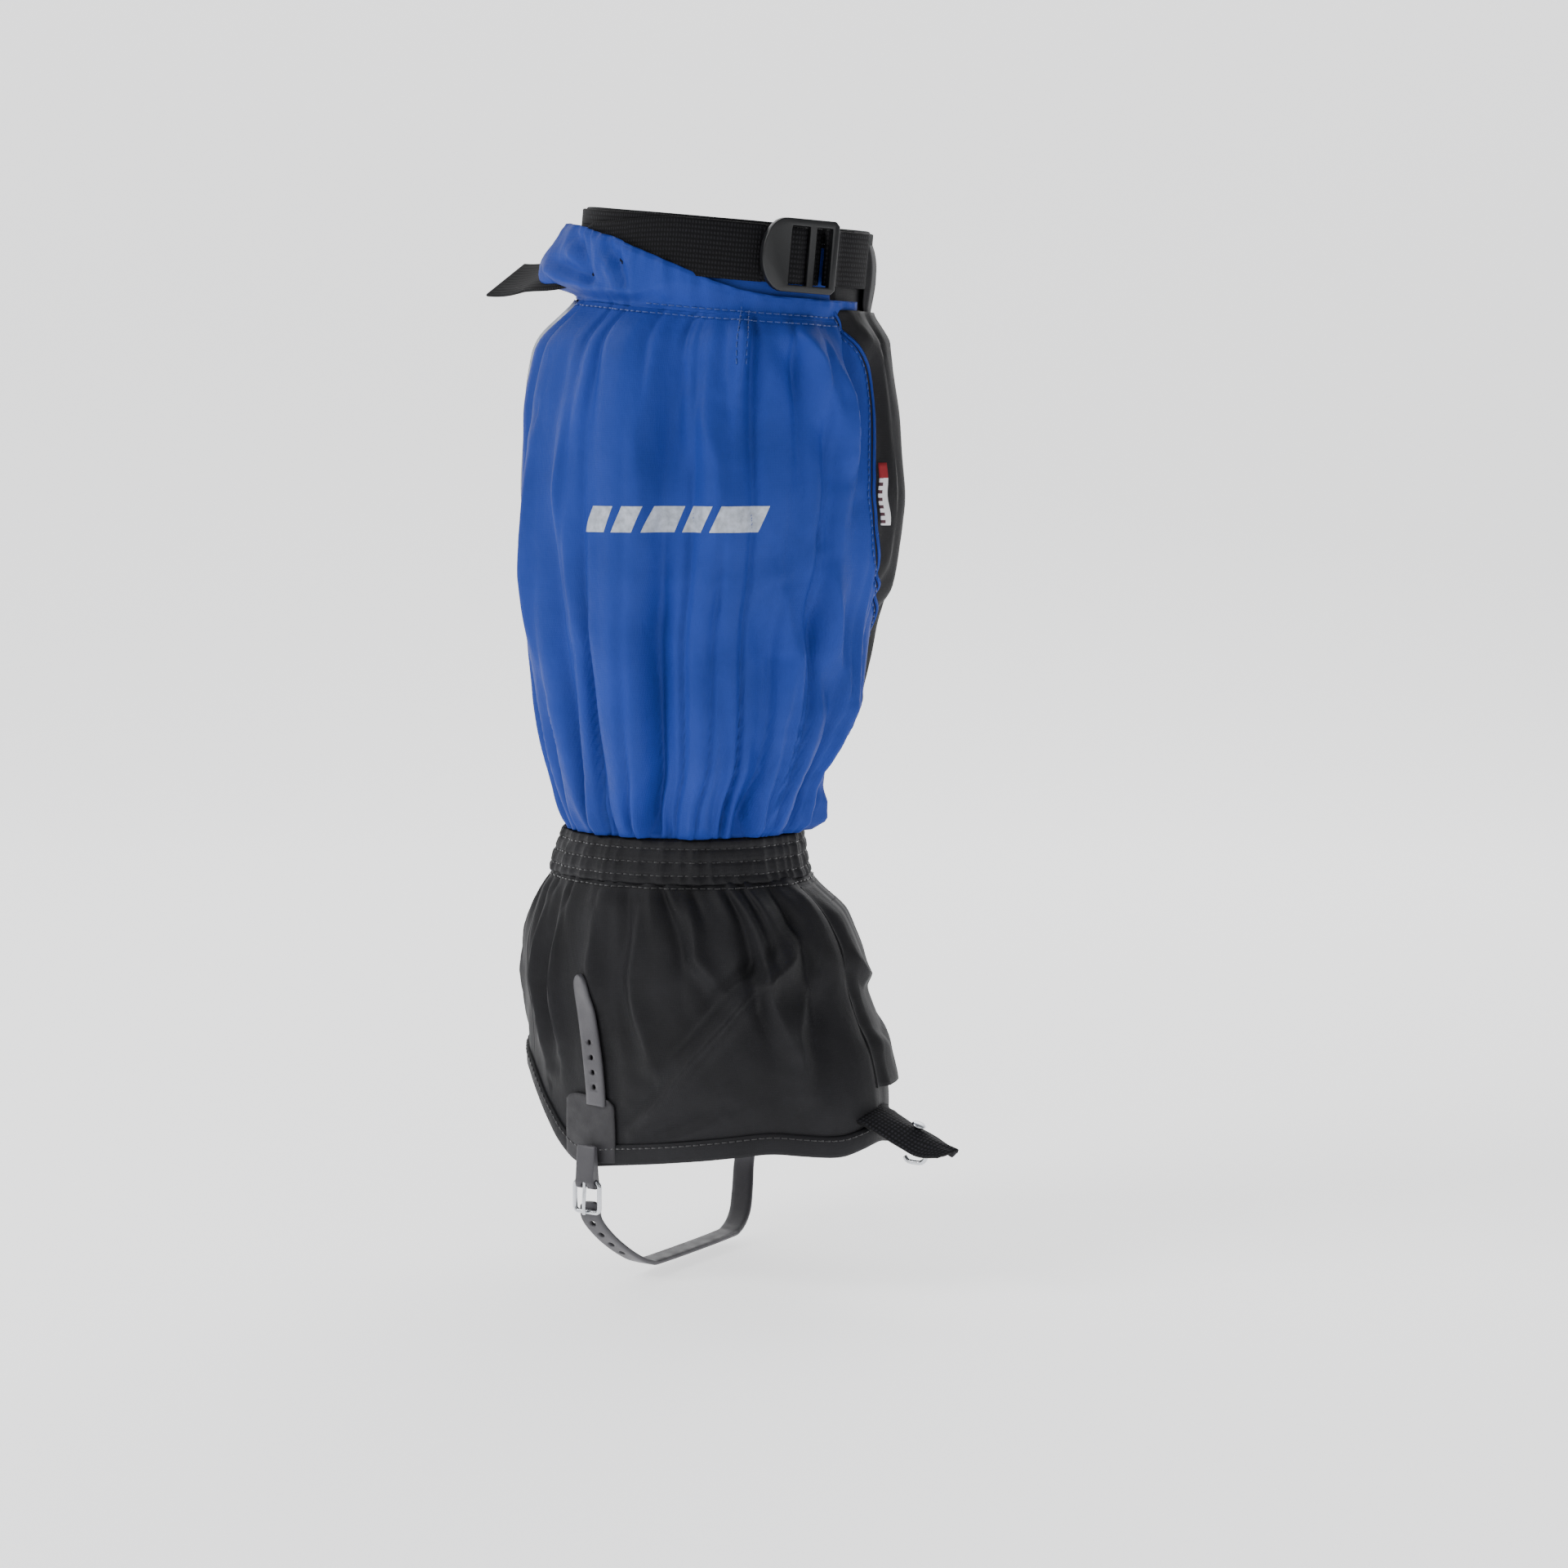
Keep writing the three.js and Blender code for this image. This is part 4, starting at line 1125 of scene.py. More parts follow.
skirtSetup = {
    "wall": 0.0008,
    "across": 0.9,
    "rise": 0.0018,
    "hemTall": 0.0095,
    "hems": [  # (degrees from the toe, mm above the ankle line)
        (0, -136), (20, -141), (45, -137), (90, -147), (108, -152), (116, -147), (124, -137), (133, -126),
        (143, -117), (155, -112), (180, -110),
    ],
    "clouds": [(0.0016, 0.028, 1.4, 54.0), (0.0007, 0.01, 1.4, 59.0)],
    "creaseGain": 1.35,
    "pleats": pleats(40, 0.03, 0.0048, 201, lean=70, sharp=1.4, widen=1.4),
    "valley": pleats(26, 0.045, -0.0048, 211, lean=40, thin=0.4),
    "long": pleats(12, 0.085, 0.005, 205, lean=40, widen=1.5),
    "creases": [
        fold(0.0044, 0.0068, (-20, -0.044), (-43, -0.066), (-66, -0.096), (-89, -0.133)),
        fold(0.0045, 0.0034, (-45, -0.062), (-66, -0.088), (-90, -0.118), side=-1),
        fold(0.0035, 0.0026, (-60, -0.122), (-72, -0.131), (-88, -0.139)),
        fold(0.0045, 0.0036, (-36, -0.03), (-37, -0.06), (-33, -0.09)),
        fold(0.0045, 0.004, (-78, -0.028), (-82, -0.06), (-80, -0.1)),
        fold(0.004, 0.0042, (-96, -0.024), (-98, -0.055), (-97, -0.09), side=-1),
        fold(0.0045, 0.0045, (-113, -0.024), (-115, -0.06), (-117, -0.1)),
        fold(0.005, 0.004, (-128, -0.03), (-130, -0.07), (-126, -0.11), side=-1),
        fold(0.004, 0.003, (-58, -0.028), (-60, -0.05), (-52, -0.066)),
        fold(0.005, 0.003, (-18, -0.06), (-30, -0.082), (-34, -0.11), side=-1),
        fold(0.005, 0.004, (60, -0.03), (66, -0.08), (60, -0.12)),
        fold(0.005, 0.005, (84, -0.05), (100, -0.09), (112, -0.125)),
        fold(0.005, 0.004, (128, -0.03), (124, -0.07), (130, -0.11)),
        fold(0.005, 0.004, (168, -0.03), (172, -0.06), (166, -0.1)),
        fold(0.005, 0.004, (200, -0.03), (196, -0.06), (201, -0.1)),
    ],
}


def hemLine(angle):
    # height of the hem round the leg, the same on both sides
    table = skirtSetup["hems"]
    away = np.abs(wrap(angle))
    fine = np.linspace(-60, 240, 601)
    folded = np.where(fine > 180, 360 - fine, np.abs(fine))
    return np.interp(away, fine, smoothed(np.interp(folded, *zip(*table)), np.hanning(41))) / 1000


def skirtSpots(angle, z, out=0.0):
    # the skirt's surface with all its folds
    below = np.maximum(ankleLow - z, 0)
    folds = sum(gathers(angle, below, skirtSetup[k]) for k in ("pleats", "long", "valley"))
    folds = folds + creasesOf(angle, z, skirtSetup) + cloudsOf(angle, z, skirtSetup)
    held = 0.3 + 0.7 * smoothStep(below, 0.0, 0.008)
    hem = 0.45 + 0.55 * smoothStep(z - hemLine(angle), 0.004, 0.03)
    # flatter under the patches and under the flap
    byPatch = smoothStep(14 - np.abs(np.abs(wrap(angle)) - 103), 0, 7)
    side = 1 - 0.75 * byPatch * smoothStep(-0.06 - z, 0, 0.02)
    front = 1 - 0.7 * smoothStep(wrap(angle), -3, 8) * (1 - smoothStep(wrap(angle), 33, 44))
    return legSpots(angle, z, out + folds * held * hem * side * front)


def makeSkirt():
    def bottom(angle):
        return hemLine(angle) + 0.004

    back = upperSetup["backSeam"]
    setup = skirtSetup
    wall = setup["wall"]
    ends = (bottom, ankleLow + 0.001)
    spots = panelGrid((back, 1.0), ends, skirtSpots, setup)
    outer = gridPiece("skirtOuterPanel", spots, wall, black, "gaiter", ["skirt_outer_panel"])
    spots = panelGrid((0.4, 360 + back), ends, skirtSpots, setup)
    inner = gridPiece("skirtInnerPanel", spots, wall, black, "gaiter", ["skirt_inner_panel"])


def makeHem():
    # the lower edge turned up twice and stitched
    angle = np.linspace(0, 360, 400, endpoint=False)
    tall = skirtSetup["hemTall"]
    section = [(0.0, 0.0009), (0.0014, 0.0013), (0.5 * tall, 0.0014), (0.85 * tall, 0.0013), (tall, 0.0009)]
    section += [(tall, -0.0010), (0.5 * tall, -0.0012), (0.0012, -0.0011), (0.0, -0.0004)]
    base = hemLine(angle)
    rings = np.stack([skirtSpots(angle, base + h, o + 0.0001) for h, o in section], 1)
    mesh = loftMesh("bottomHem", rings[:, ::-1], closed=True)
    addPiece("bottomHem", mesh, black, "gaiter", ["bottom_hem"])


ankleSetup = {
    "pleats": pleats(66, 0.04, 0.0021, 301, sharp=1.3, widen=0.2, lean=20),
    "rows": [0.2, 0.5, 0.8],
    "pinch": 0.0007,
    "wall": 0.0008,
    "elasticLow": -0.016,
    "elasticTall": 0.014,
    "elasticOut": -0.0021,
    "elasticRibs": 66,
}


def ankleSpots(angle, v, out=0.0):
    # tight pleats of the casing; the elastic's stitch rows pinch it
    z = ankleLow + v * (ankleTop - ankleLow)
    folds = gathers(angle, 0.008 + 0 * z, ankleSetup["pleats"])
    folds = folds * (0.75 + 0.5 * cloudy(angle, v * 0.02, 0.006, 1.0, 71.0))
    puff = 0.0016 * np.sin(np.pi * np.clip(v, 0, 1)) ** 0.5
    rows = sum(np.exp(-(((v - row) / 0.045) ** 2)) for row in ankleSetup["rows"])
    return legSpots(angle, z, out + folds + puff - ankleSetup["pinch"] * rows)


def makeAnkle():
    angle = np.linspace(0, 360, 520, endpoint=False)[None, :]
    v = np.linspace(0, 1, 26)[:, None]
    spots = ankleSpots(angle, v, 0.0007)
    wall = ankleSetup["wall"]
    casing = gridPiece("ankleCasing", spots, wall, black, "gaiter", ["ankle_casing"], True)
    angle = np.linspace(0, 360, 260, endpoint=False)[None, :]
    v = np.linspace(0, 1, 10)[:, None]
    z = ankleSetup["elasticLow"] + v * ankleSetup["elasticTall"]
    ripple = 0.0003 * np.sin(np.radians(angle) * ankleSetup["elasticRibs"])
    spots = legSpots(angle, z, ankleSetup["elasticOut"] + ripple + 0 * z)
    gridPiece("ankleElastic", spots, 0.001, elasticCloth, "gaiter", ["ankle_elastic"], True)


makeUpperFlap()
makeSkirt()
makeHem()
makeAnkle()
print("closure, ankle and skirt made")


def makeLowerFlap():
    # the short flap over the skirt's closure
    setup = closureSetup
    swell = fold(0.006, 0.004, (3, -0.05), (14, -0.063), (30, -0.066))
    hollow = fold(0.005, -0.003, (2, -0.082), (16, -0.086), (30, -0.08))

    def spots(angle, z):
        out = flapOut(angle, 0.5, setup["lowerEnd"])
        wave = 0.0013 * cloudy(angle, z, 0.016, 1.3, 37.0) * smoothStep(angle, 1, 9)
        wave = wave + crease(angle, z, swell) + crease(angle, z, hollow)
        tuck = smoothStep(setup["lowerHigh"] - z, 0.0, 0.014)
        return skirtSpots(angle, z, 0.0006 + (out - 0.0006 + np.maximum(wave, -0.0007)) * tuck)

    ends = (setup["lowerLow"], setup["lowerHigh"])
    grid = panelGrid((-0.5, setup["lowerEnd"]), ends, spots, {"across": 0.7, "rise": 0.0016})
    wall = setup["flapWall"]
    flap = gridPiece("frontFlapLower", grid, wall, black, None, ["front_flap_lower"])
    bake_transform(flap)
    makeTapes("Lower", {"loop": 10.5, "hook": 13.0}, setup["lowerEnd"] - 2.5, (-0.106, -0.03), skirtSpots)


def frameAt(angle, z, out):
    # a spot on the skirt with its sideways and its outward directions
    a = np.array([[angle - 0.6, angle, angle + 0.6]] * 3)
    h = np.array([[z - 0.001] * 3, [z] * 3, [z + 0.001] * 3])
    p = skirtSpots(a, h, out)
    side = unit(p[1, 2] - p[1, 0])
    return p[1, 1], side, unit(np.cross(side, unit(p[2, 1] - p[0, 1])))


def circleRound(axis, sides):
    # the axis at unit length, and a unit circle about it
    axis = unit(np.asarray(axis, float))
    guess = np.array([0, 0, 1.0]) if abs(axis[2]) < 0.8 else np.array([1.0, 0, 0])
    side = unit(np.cross(guess, axis))
    turn = np.linspace(0, 2 * np.pi, sides, endpoint=False)
    return axis, np.outer(np.cos(turn), side) + np.outer(np.sin(turn), np.cross(axis, side))


def latheMesh(name, profile, centre, axis):
    # turns (radius, height) pairs in mm about an axis, starting on it
    axis, ring = circleRound(axis, 40)
    profile = [(0.1, profile[0][1]), *profile]
    return loftMesh(name, np.array([centre + (r * ring + h * axis) / 1000 for r, h in profile]))


def barMesh(name, start, end, radius):
    # a straight round bar from start to end
    ring = circleRound(end - start, 20)[1] * radius
    return loftMesh(name, np.array([start + ring, end + ring]))


def boxCentre(name):
    low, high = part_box(name)
    return (np.array(low) + np.array(high)) / 2


snapSetup = {  # profiles in mm as (radius, height), turned about the stud's axis
    "post": [(4.6, -2.2), (5.0, -1.6), (4.6, -1.0), (3.0, -0.7), (0.1, -0.7)],
    "ball": [(4.2, -1.2), (4.4, -0.7), (2.0, -0.4), (1.9, 0.6), (0.1, 1.2)],
    "socket": [(5.2, -0.6), (5.5, 0.0), (5.0, 0.6), (2.2, 0.6), (0.1, 0.3)],
    "cap": [(5.8, -1.0), (6.3, -0.4), (6.1, 0.4), (5.0, 1.1), (3.0, 1.5), (1.2, 1.2), (0.1, 1.1)],
    "capOut": 0.0006,
}


def makeSnap():
    # a snap at the top of the closure, through the panel and the flap
    inner = boxCentre("stud_post")
    outer = boxCentre("stud_cap")
    axis = unit(outer - inner)
    rows = (
        ("post", steel, "bright_steel", "gaiter"),
        ("ball", steel, "bright_steel", "gaiter"),
        ("socket", steel, "bright_steel", "upper_flap"),
        ("cap", acetal, "black_plastic", "upper_flap"),
    )
    for key, material, slot, body in rows:
        name, node = "stud" + key.title(), "stud_" + key
        centre = boxCentre(node) + (axis * snapSetup["capOut"] if key == "cap" else 0)
        addPiece(name, latheMesh(name, snapSetup[key], centre, axis), material, body, [node])


def makeLabel():
    # a folded woven label caught in the flap's seam
    low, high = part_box("woven_label")
    rows = 16
    z = np.linspace(low[2], high[2], rows)[:, None]
    share = np.linspace(0, 1, 5)[None, :]
    ripple = 0.0003 * np.sin(0.7 * np.arange(rows))[:, None]
    angle = seamAngle(z) - 0.4 + 1.9 * share
    spots = upperSpots(angle, z + 0 * share, 0.0031 + 0.0026 * share + ripple)
    gridPiece("wovenLabel", spots, 0.0006, labelCloth, "upper_flap", ["woven_label"])


makeLowerFlap()
makeSnap()
makeLabel()
print("flaps and snap made")


# ---- the front tongue with its lace hook ----
rivetProfiles = {  # (radius, height) in mm, from the shank's end to the head's top
    "laceHook": [(1.6, -1.9), (1.7, 0.6), (3.2, 0.7), (3.3, 1.1), (2.6, 1.7), (1.2, 2.0), (0.1, 2.1)],
    "instep": [(2.0, -2.6), (2.0, 0.8), (3.8, 0.9), (4.1, 1.4), (3.4, 2.2), (1.6, 2.7), (0.1, 2.8)],
}
tongueSetup = {
    "baseZ": -0.1195,
    "halfBase": 13.8,
    "length": 0.045,
    "slope": 21.5,
    "tipHalf": 0.008,
    "thick": 0.0017,
    "wire": 0.0011,
    "tab": (0.0118, 0.0098, 0.0013),  # length, width and thickness
}


def tongueSpots(s, t):
    # s runs from the hem to the tip, t from side to side
    setup = tongueSetup
    base = legSpots(setup["halfBase"] * t, setup["baseZ"] - 0.003 * t**2, 0.0016)
    slope = math.radians(setup["slope"])
    x = base[..., 0] * (1 - s) + (0.1068 + setup["length"] * math.cos(slope) - 0.006 * t**2) * s
    narrow = (1 - s) ** 0.95
    y = base[..., 1] * narrow + setup["tipHalf"] * t * (1 - narrow)
    z = base[..., 2] - setup["length"] * math.sin(slope) * s
    x = np.where(s < 0.12, base[..., 0] + (x - base[..., 0]) * (s / 0.12) ** 1.3, x)
    crumple = 0.0016 * np.sin(9.5 * s + 1.7 * t) * s * t**2
    crumple = crumple + 0.0012 * cloudy(t * 30, s * 0.05, 0.012, 1.0, 83.0) * s
    z = z + crumple - 0.003 * np.sin(np.pi * s * 0.85) * np.abs(t) ** 1.6 + 0.001 * s**3
    return np.stack([x, y, z], -1)


def makeTongue():
    s = np.linspace(0, 1, 60)[:, None]
    t = np.linspace(-1, 1, 50)[None, :]
    spots = tongueSpots(s, t + 0 * s)[::-1]
    wall = tongueSetup["thick"]
    tongue = gridPiece("frontTongue", spots, wall, packcloth, None, ["front_tongue"])
    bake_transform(tongue)


def makeLaceHook():
    low, high = (np.array(corner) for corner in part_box("lace_hook_tab"))
    middle = (low + high) / 2
    slope = math.radians(22)
    along = np.array([math.cos(slope), 0, -math.sin(slope)])
    up = np.array([math.sin(slope), 0, math.cos(slope)])
    tabLong, tabWide, tabThick = tongueSetup["tab"]
    path = middle + np.outer(np.linspace(-0.5, 0.5, 10) * tabLong, along)
    across = np.tile([0.0, 1, 0], (len(path), 1))
    rings = ribbonRings(path, across, np.tile(up, (len(path), 1)), tabWide, tabThick)
    mesh = loftMesh("laceHookTab", rings)
    addPiece("laceHookTab", mesh, webbing, "tongue", ["lace_hook_tab"])
    rivet = boxCentre("lace_hook_rivet")
    mesh = latheMesh("laceHookRivet", rivetProfiles["laceHook"], rivet, up)
    addPiece("laceHookRivet", mesh, steel, "tongue", ["lace_hook_rivet"])
    low, high = (np.array(corner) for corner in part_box("lace_hook"))
    r = tongueSetup["wire"]
    x0, x1, z0, z1 = low[0] + r, high[0] - r, low[2] + r, high[2] - r
    path = [(x1 - 0.006, 0, z1), (x1 - 0.002, 0, z1 - 0.0008), (x1, 0, z1 - 0.003)]
    path += [(x1 - 0.0002, 0, z0 + 0.003), (x1 - 0.002, 0, z0 + 0.0006), (x1 - 0.0045, 0, z0)]
    path += [(x0 + 0.002, 0, z0 + 0.0003), (x0, 0, z0 + 0.0022)]
    mesh = loftMesh("laceHook", wireRings(catmull(path, 60), r))
    addPiece("laceHook", mesh, steel, "lace_hook", ["lace_hook"])


# ---- patches, the holed strap end and the instep strap ----
instepSetup = {
    "width": 0.0115,
    "thick": 0.0022,
    "forward": -0.009,
    "face": 0.0655,
    "arch": -0.2,
    "hole": 0.0017,
    "endAngle": -101.2,
    "endHigh": -0.0615,
    "endLow": -0.1215,
    "endHoles": [-0.0925, -0.0993, -0.1061, -0.1129],
    "endHole": 0.00135,
    "patchHigh": -0.1175,
    "patchOut": 0.0016,
    "patchWall": 0.0014,
    "patchAngle": 104.6,  # degrees from the toe, to either side
    "patchHalf": 11.1047,
    "eye": 0.0031,  # outer radius of the moulded loop round the frame's bar
    "wire": 0.0011,
    "prongWire": 0.0009,
    "prongTurn": 0.0021,
}


def cutHoles(piece, tools):
    # drills the piece with bars given as (from, to, radius)
    for start, end, radius in tools:
        cutter = linkObject("cutter", barMesh("cutter", np.array(start), np.array(end), radius))
        boolean = piece.modifiers.new("hole", "BOOLEAN")
        boolean.object = cutter
        boolean.solver = "EXACT"
        settle(piece)
        bpy.data.objects.remove(cutter)


def makePatch(name, side, node):
    # the hem patch that takes the strap's pull, cornered round and stitched
    setup = instepSetup
    v = np.linspace(0, 1, 26)[:, None]
    w = np.linspace(-1, 1, 22)[None, :]
    angles = side * setup["patchAngle"] + w * setup["patchHalf"] * (0.92 - 0.05 * v)
    bottom = hemLine(angles) + 0.0012
    top = setup["patchHigh"] - 0.0035 * np.abs(w) ** 5
    spots = skirtSpots(angles, bottom + v * (top - bottom), setup["patchOut"])
    gridPiece(name, spots, setup["patchWall"], darkTpu, "gaiter", [node])


def makeStrapEnd():
    setup = instepSetup
    rows = 50
    z = np.linspace(setup["endLow"], setup["endHigh"], rows)
    half = setup["width"] / 2
    fromTop = setup["endHigh"] - z
    shrink = np.where(fromTop < half, np.sqrt(np.clip(1 - (1 - fromTop / half) ** 2, 0.02, 1)), 1.0)
    rings = []
    section = flatSection(2 * half, setup["thick"])
    for k in range(rows):
        centre, sideways, normal = frameAt(setup["endAngle"], z[k], setup["thick"] / 2 + 0.0007)
        row = section * [shrink[k], 1]
        rings.append(centre + row[:, :1] * sideways + row[:, 1:] * normal)
    mesh = loftMesh("instepStrapEnd", np.array(rings)[:, ::-1])
    piece = addPiece("instepStrapEnd", mesh, greyTpu)
    tools = []
    for height in setup["endHoles"]:
        centre, sideways, normal = frameAt(setup["endAngle"], height, 0.0)
        tools.append((centre - normal * 0.002, centre + normal * 0.009, setup["endHole"]))
    cutHoles(piece, tools)
    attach(piece, "gaiter")
    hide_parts("instep_strap_end")


def makeInstepStrap():
    setup = instepSetup
    f, face, arch = setup["forward"], setup["face"], setup["arch"]
    half = [
        (f, -face + 0.0026, -0.1668),
        (f + 0.0006, -face + 0.0028, -0.1748),
        (f + 0.004, -face + 0.009, -0.1842),
        (f + 0.0085, -face + 0.0182, -0.193),
        (0.0018, -face + 0.0285, arch + 0.0014),
        (0.002, -face + 0.04, arch),
    ]
    other = [(x, -y, z) for x, y, z in reversed(half[1:])]
    other += [(f, face - 0.0004, -0.1666), (f, face, -0.158), (f, face, -0.149), (f, face, -0.141)]
    path = catmull(half + other, 190)
    run = unit(np.gradient(path, axis=0))
    across = unit(np.array([1.0, 0, 0]) - run * run[:, :1])
    out = unit(np.cross(run, across))
    share = np.linspace(0, 1, len(path))
    last = np.clip((1 - share) / 0.02, 0, 1)
    first = np.clip(share / 0.012, 0, 1)
    wide = setup["width"] * np.sqrt(np.clip(1 - (1 - last) ** 2, 0.1, 1))
    wide *= np.sqrt(np.clip(1 - (1 - first) ** 2, 0.2, 1))
    mesh = loftMesh("instepStrap", ribbonRings(path, across, out, wide, setup["thick"]))
    piece = addPiece("instepStrap", mesh, greyTpu)
    tools = []
    for share in (0.055, 0.092, 0.129, 0.166):
        k = int(share * len(path))
        tools.append((path[k] - out[k] * 0.004, path[k] + out[k] * 0.004, setup["hole"]))
    cutHoles(piece, tools)
    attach(piece, "instep")
    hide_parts("instep_strap")
    rivet = boxCentre("instep_rivet")
    mesh = latheMesh("instepRivet", rivetProfiles["instep"], rivet, np.array([0.0, 1, 0]))
    addPiece("instepRivet", mesh, steel, "gaiter", ["instep_rivet"])


def makeBuckle():
    # a wire frame turning in the moulded loop, with a prong through the strap
    setup = instepSetup
    x, y, top = joints["buckle_prong_lift"]["pos_m"]
    low, high = (np.array(corner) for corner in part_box("buckle_loop"))
    turn = np.radians(np.linspace(-30, 210, 22))
    half, rise = setup["thick"] / 2, high[2] - top
    outline = [(-half, rise - 0.001), (-0.4 * half, rise), (0.4 * half, rise), (half, rise - 0.001)]
    outline += [(setup["eye"] * math.cos(t), -setup["eye"] * math.sin(t)) for t in turn]
    outline = np.array(outline)
    wide = (high[0] - low[0]) / 2
    across = np.array([-wide, -wide + 0.0006, 0, wide - 0.0006, wide])
    shrink = [0.82, 1, 1, 1, 0.82]
    rings = np.array([
        np.stack([np.full(len(outline), x + a), y + outline[:, 0] * s, top + outline[:, 1]], 1)
        for a, s in zip(across, shrink)
    ])
    mesh = loftMesh("buckleLoop", rings)
    loop = addPiece("buckleLoop", mesh, greyTpu)
    tools = [((x - 0.008, y, top), (x + 0.008, y, top), 0.0014)]
    tools += [((x, y, top - 0.0012), (x, y - 0.006, top - 0.0018), 0.0018)]
    tools += [((x, y, top), (x, y, top - 0.006), 0.0018)]
    cutHoles(loop, tools)
    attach(loop, "instep")
    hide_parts("buckle_loop")
    low, high = (np.array(corner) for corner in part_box("buckle_frame"))
    r = setup["wire"]
    bend = 2 * r
    x0, x1, z0, z1 = low[0] + r + bend, high[0] - r - bend, low[2] + r + bend, high[2] - r - bend
    corners = []
    for cx, cz, start in ((x1, z1, 0), (x0, z1, 90), (x0, z0, 180), (x1, z0, 270)):
        for k in range(7):
            t = math.radians(start + 15 * k)
            corners.append((cx + bend * math.cos(t), y, cz + bend * math.sin(t)))
    mesh = loftMesh("buckleFrame", wireRings(np.array(corners), r, True, 14), closed=True)
    addPiece("buckleFrame", mesh, steel, "instep", ["buckle_frame"])
    around, foot = setup["prongTurn"], low[2] + r
    turn = np.radians(np.linspace(-60, 200, 20))
    route = [(x, y + around * math.cos(t), top + around * math.sin(t)) for t in turn]
    route += [(x, y - around, top - 0.003), (x, y - 0.0026, top - 0.008), (x, y - 0.0026, foot + 0.001)]
    route += [(x, y - 0.0024, foot - 0.0008)]
    mesh = loftMesh("buckleProng", wireRings(catmull(route, 70), setup["prongWire"]))
    addPiece("buckleProng", mesh, steel, "prong", ["buckle_prong"])


makeTongue()
makeLaceHook()
makePatch("outerPatch", -1, "outer_patch")
makePatch("innerPatch", 1, "inner_patch")
makeStrapEnd()
makeInstepStrap()
makeBuckle()
print("tongue and instep strap made")


# ---- seams, stripes and stitches ----
def seamRibbon(name, angles, heights, out, width, thick, material, node):
    # a narrow tape laid along a seam of the upper
    a = np.stack([angles - 0.5, angles, angles + 0.5], 1)
    rows = upperSpots(a, heights[:, None] + 0 * a, out)
    centre = rows[:, 1]
    run = unit(np.gradient(centre, axis=0))
    normal = unit(np.cross(rows[:, 2] - rows[:, 0], run))
    side = unit(np.cross(run, normal))
    mesh = loftMesh(name, ribbonRings(centre + normal * thick / 2, side, normal, width, thick))
    addPiece(name, mesh, material, "gaiter", [node])


seamSetup = {
    "tape": 0.0034,
    "tapeThick": 0.0011,
    "tapeOut": 0.0003,
    "piping": 0.0017,
    "pipingThick": 0.0013,
    "pipingOut": 0.0004,
}


def makeSeams():
    setup = seamSetup
    z = np.linspace(0.004, 0.2435, 190)
    wide, thick = setup["tape"], setup["tapeThick"]
    seamRibbon("backSeamTape", backAngle(z), z, setup["tapeOut"], wide, thick, piping, "back_seam_tape")
    z = np.linspace(0.026, 0.2395, 170)
    angles = seamAngle(z) - 0.6
    wide, thick = setup["piping"], setup["pipingThick"]
    seamRibbon("frontSeamPiping", angles, z, setup["pipingOut"], wide, thick, blue, "front_seam_piping")


stripeSetup = {
    "middle": 0.1465,
    "tall": 0.0115,
    "bars": [(-91.5, -84), (-81.5, -75.5), (-73, -64), (-61.5, -55.5), (-53, -38)],
    "slant": 3.2,
    "out": 0.00012,
}


def makeStripes():
    # five slanting bars printed across the outer panel
    setup = stripeSetup
    points, faces = [], []
    rows = 12
    for start, end in setup["bars"]:
        columns = max(int((end - start) / 0.45), 6)
        w = np.linspace(0, 1, columns)[None, :]
        v = np.linspace(0, 1, rows)[:, None]
        angle = start + w * (end - start) + (v - 0.5) * setup["slant"]
        z = setup["middle"] + (v - 0.5) * setup["tall"]
        spots = upperSpots(angle, z + 0 * angle, setup["out"])
        base = len(points)
        points += spots.reshape(-1, 3).tolist()
        for r in range(rows - 1):
            for c in range(columns - 1):
                k = base + r * columns + c
                faces.append((k, k + 1, k + columns + 1, k + columns))
    mesh = bpy.data.meshes.new("stripes")
    mesh.from_pydata(points, [], faces)
    mesh.polygons.foreach_set("use_smooth", [True] * len(faces))
    addPiece("printedStripes", mesh, stripeFilm, "gaiter")


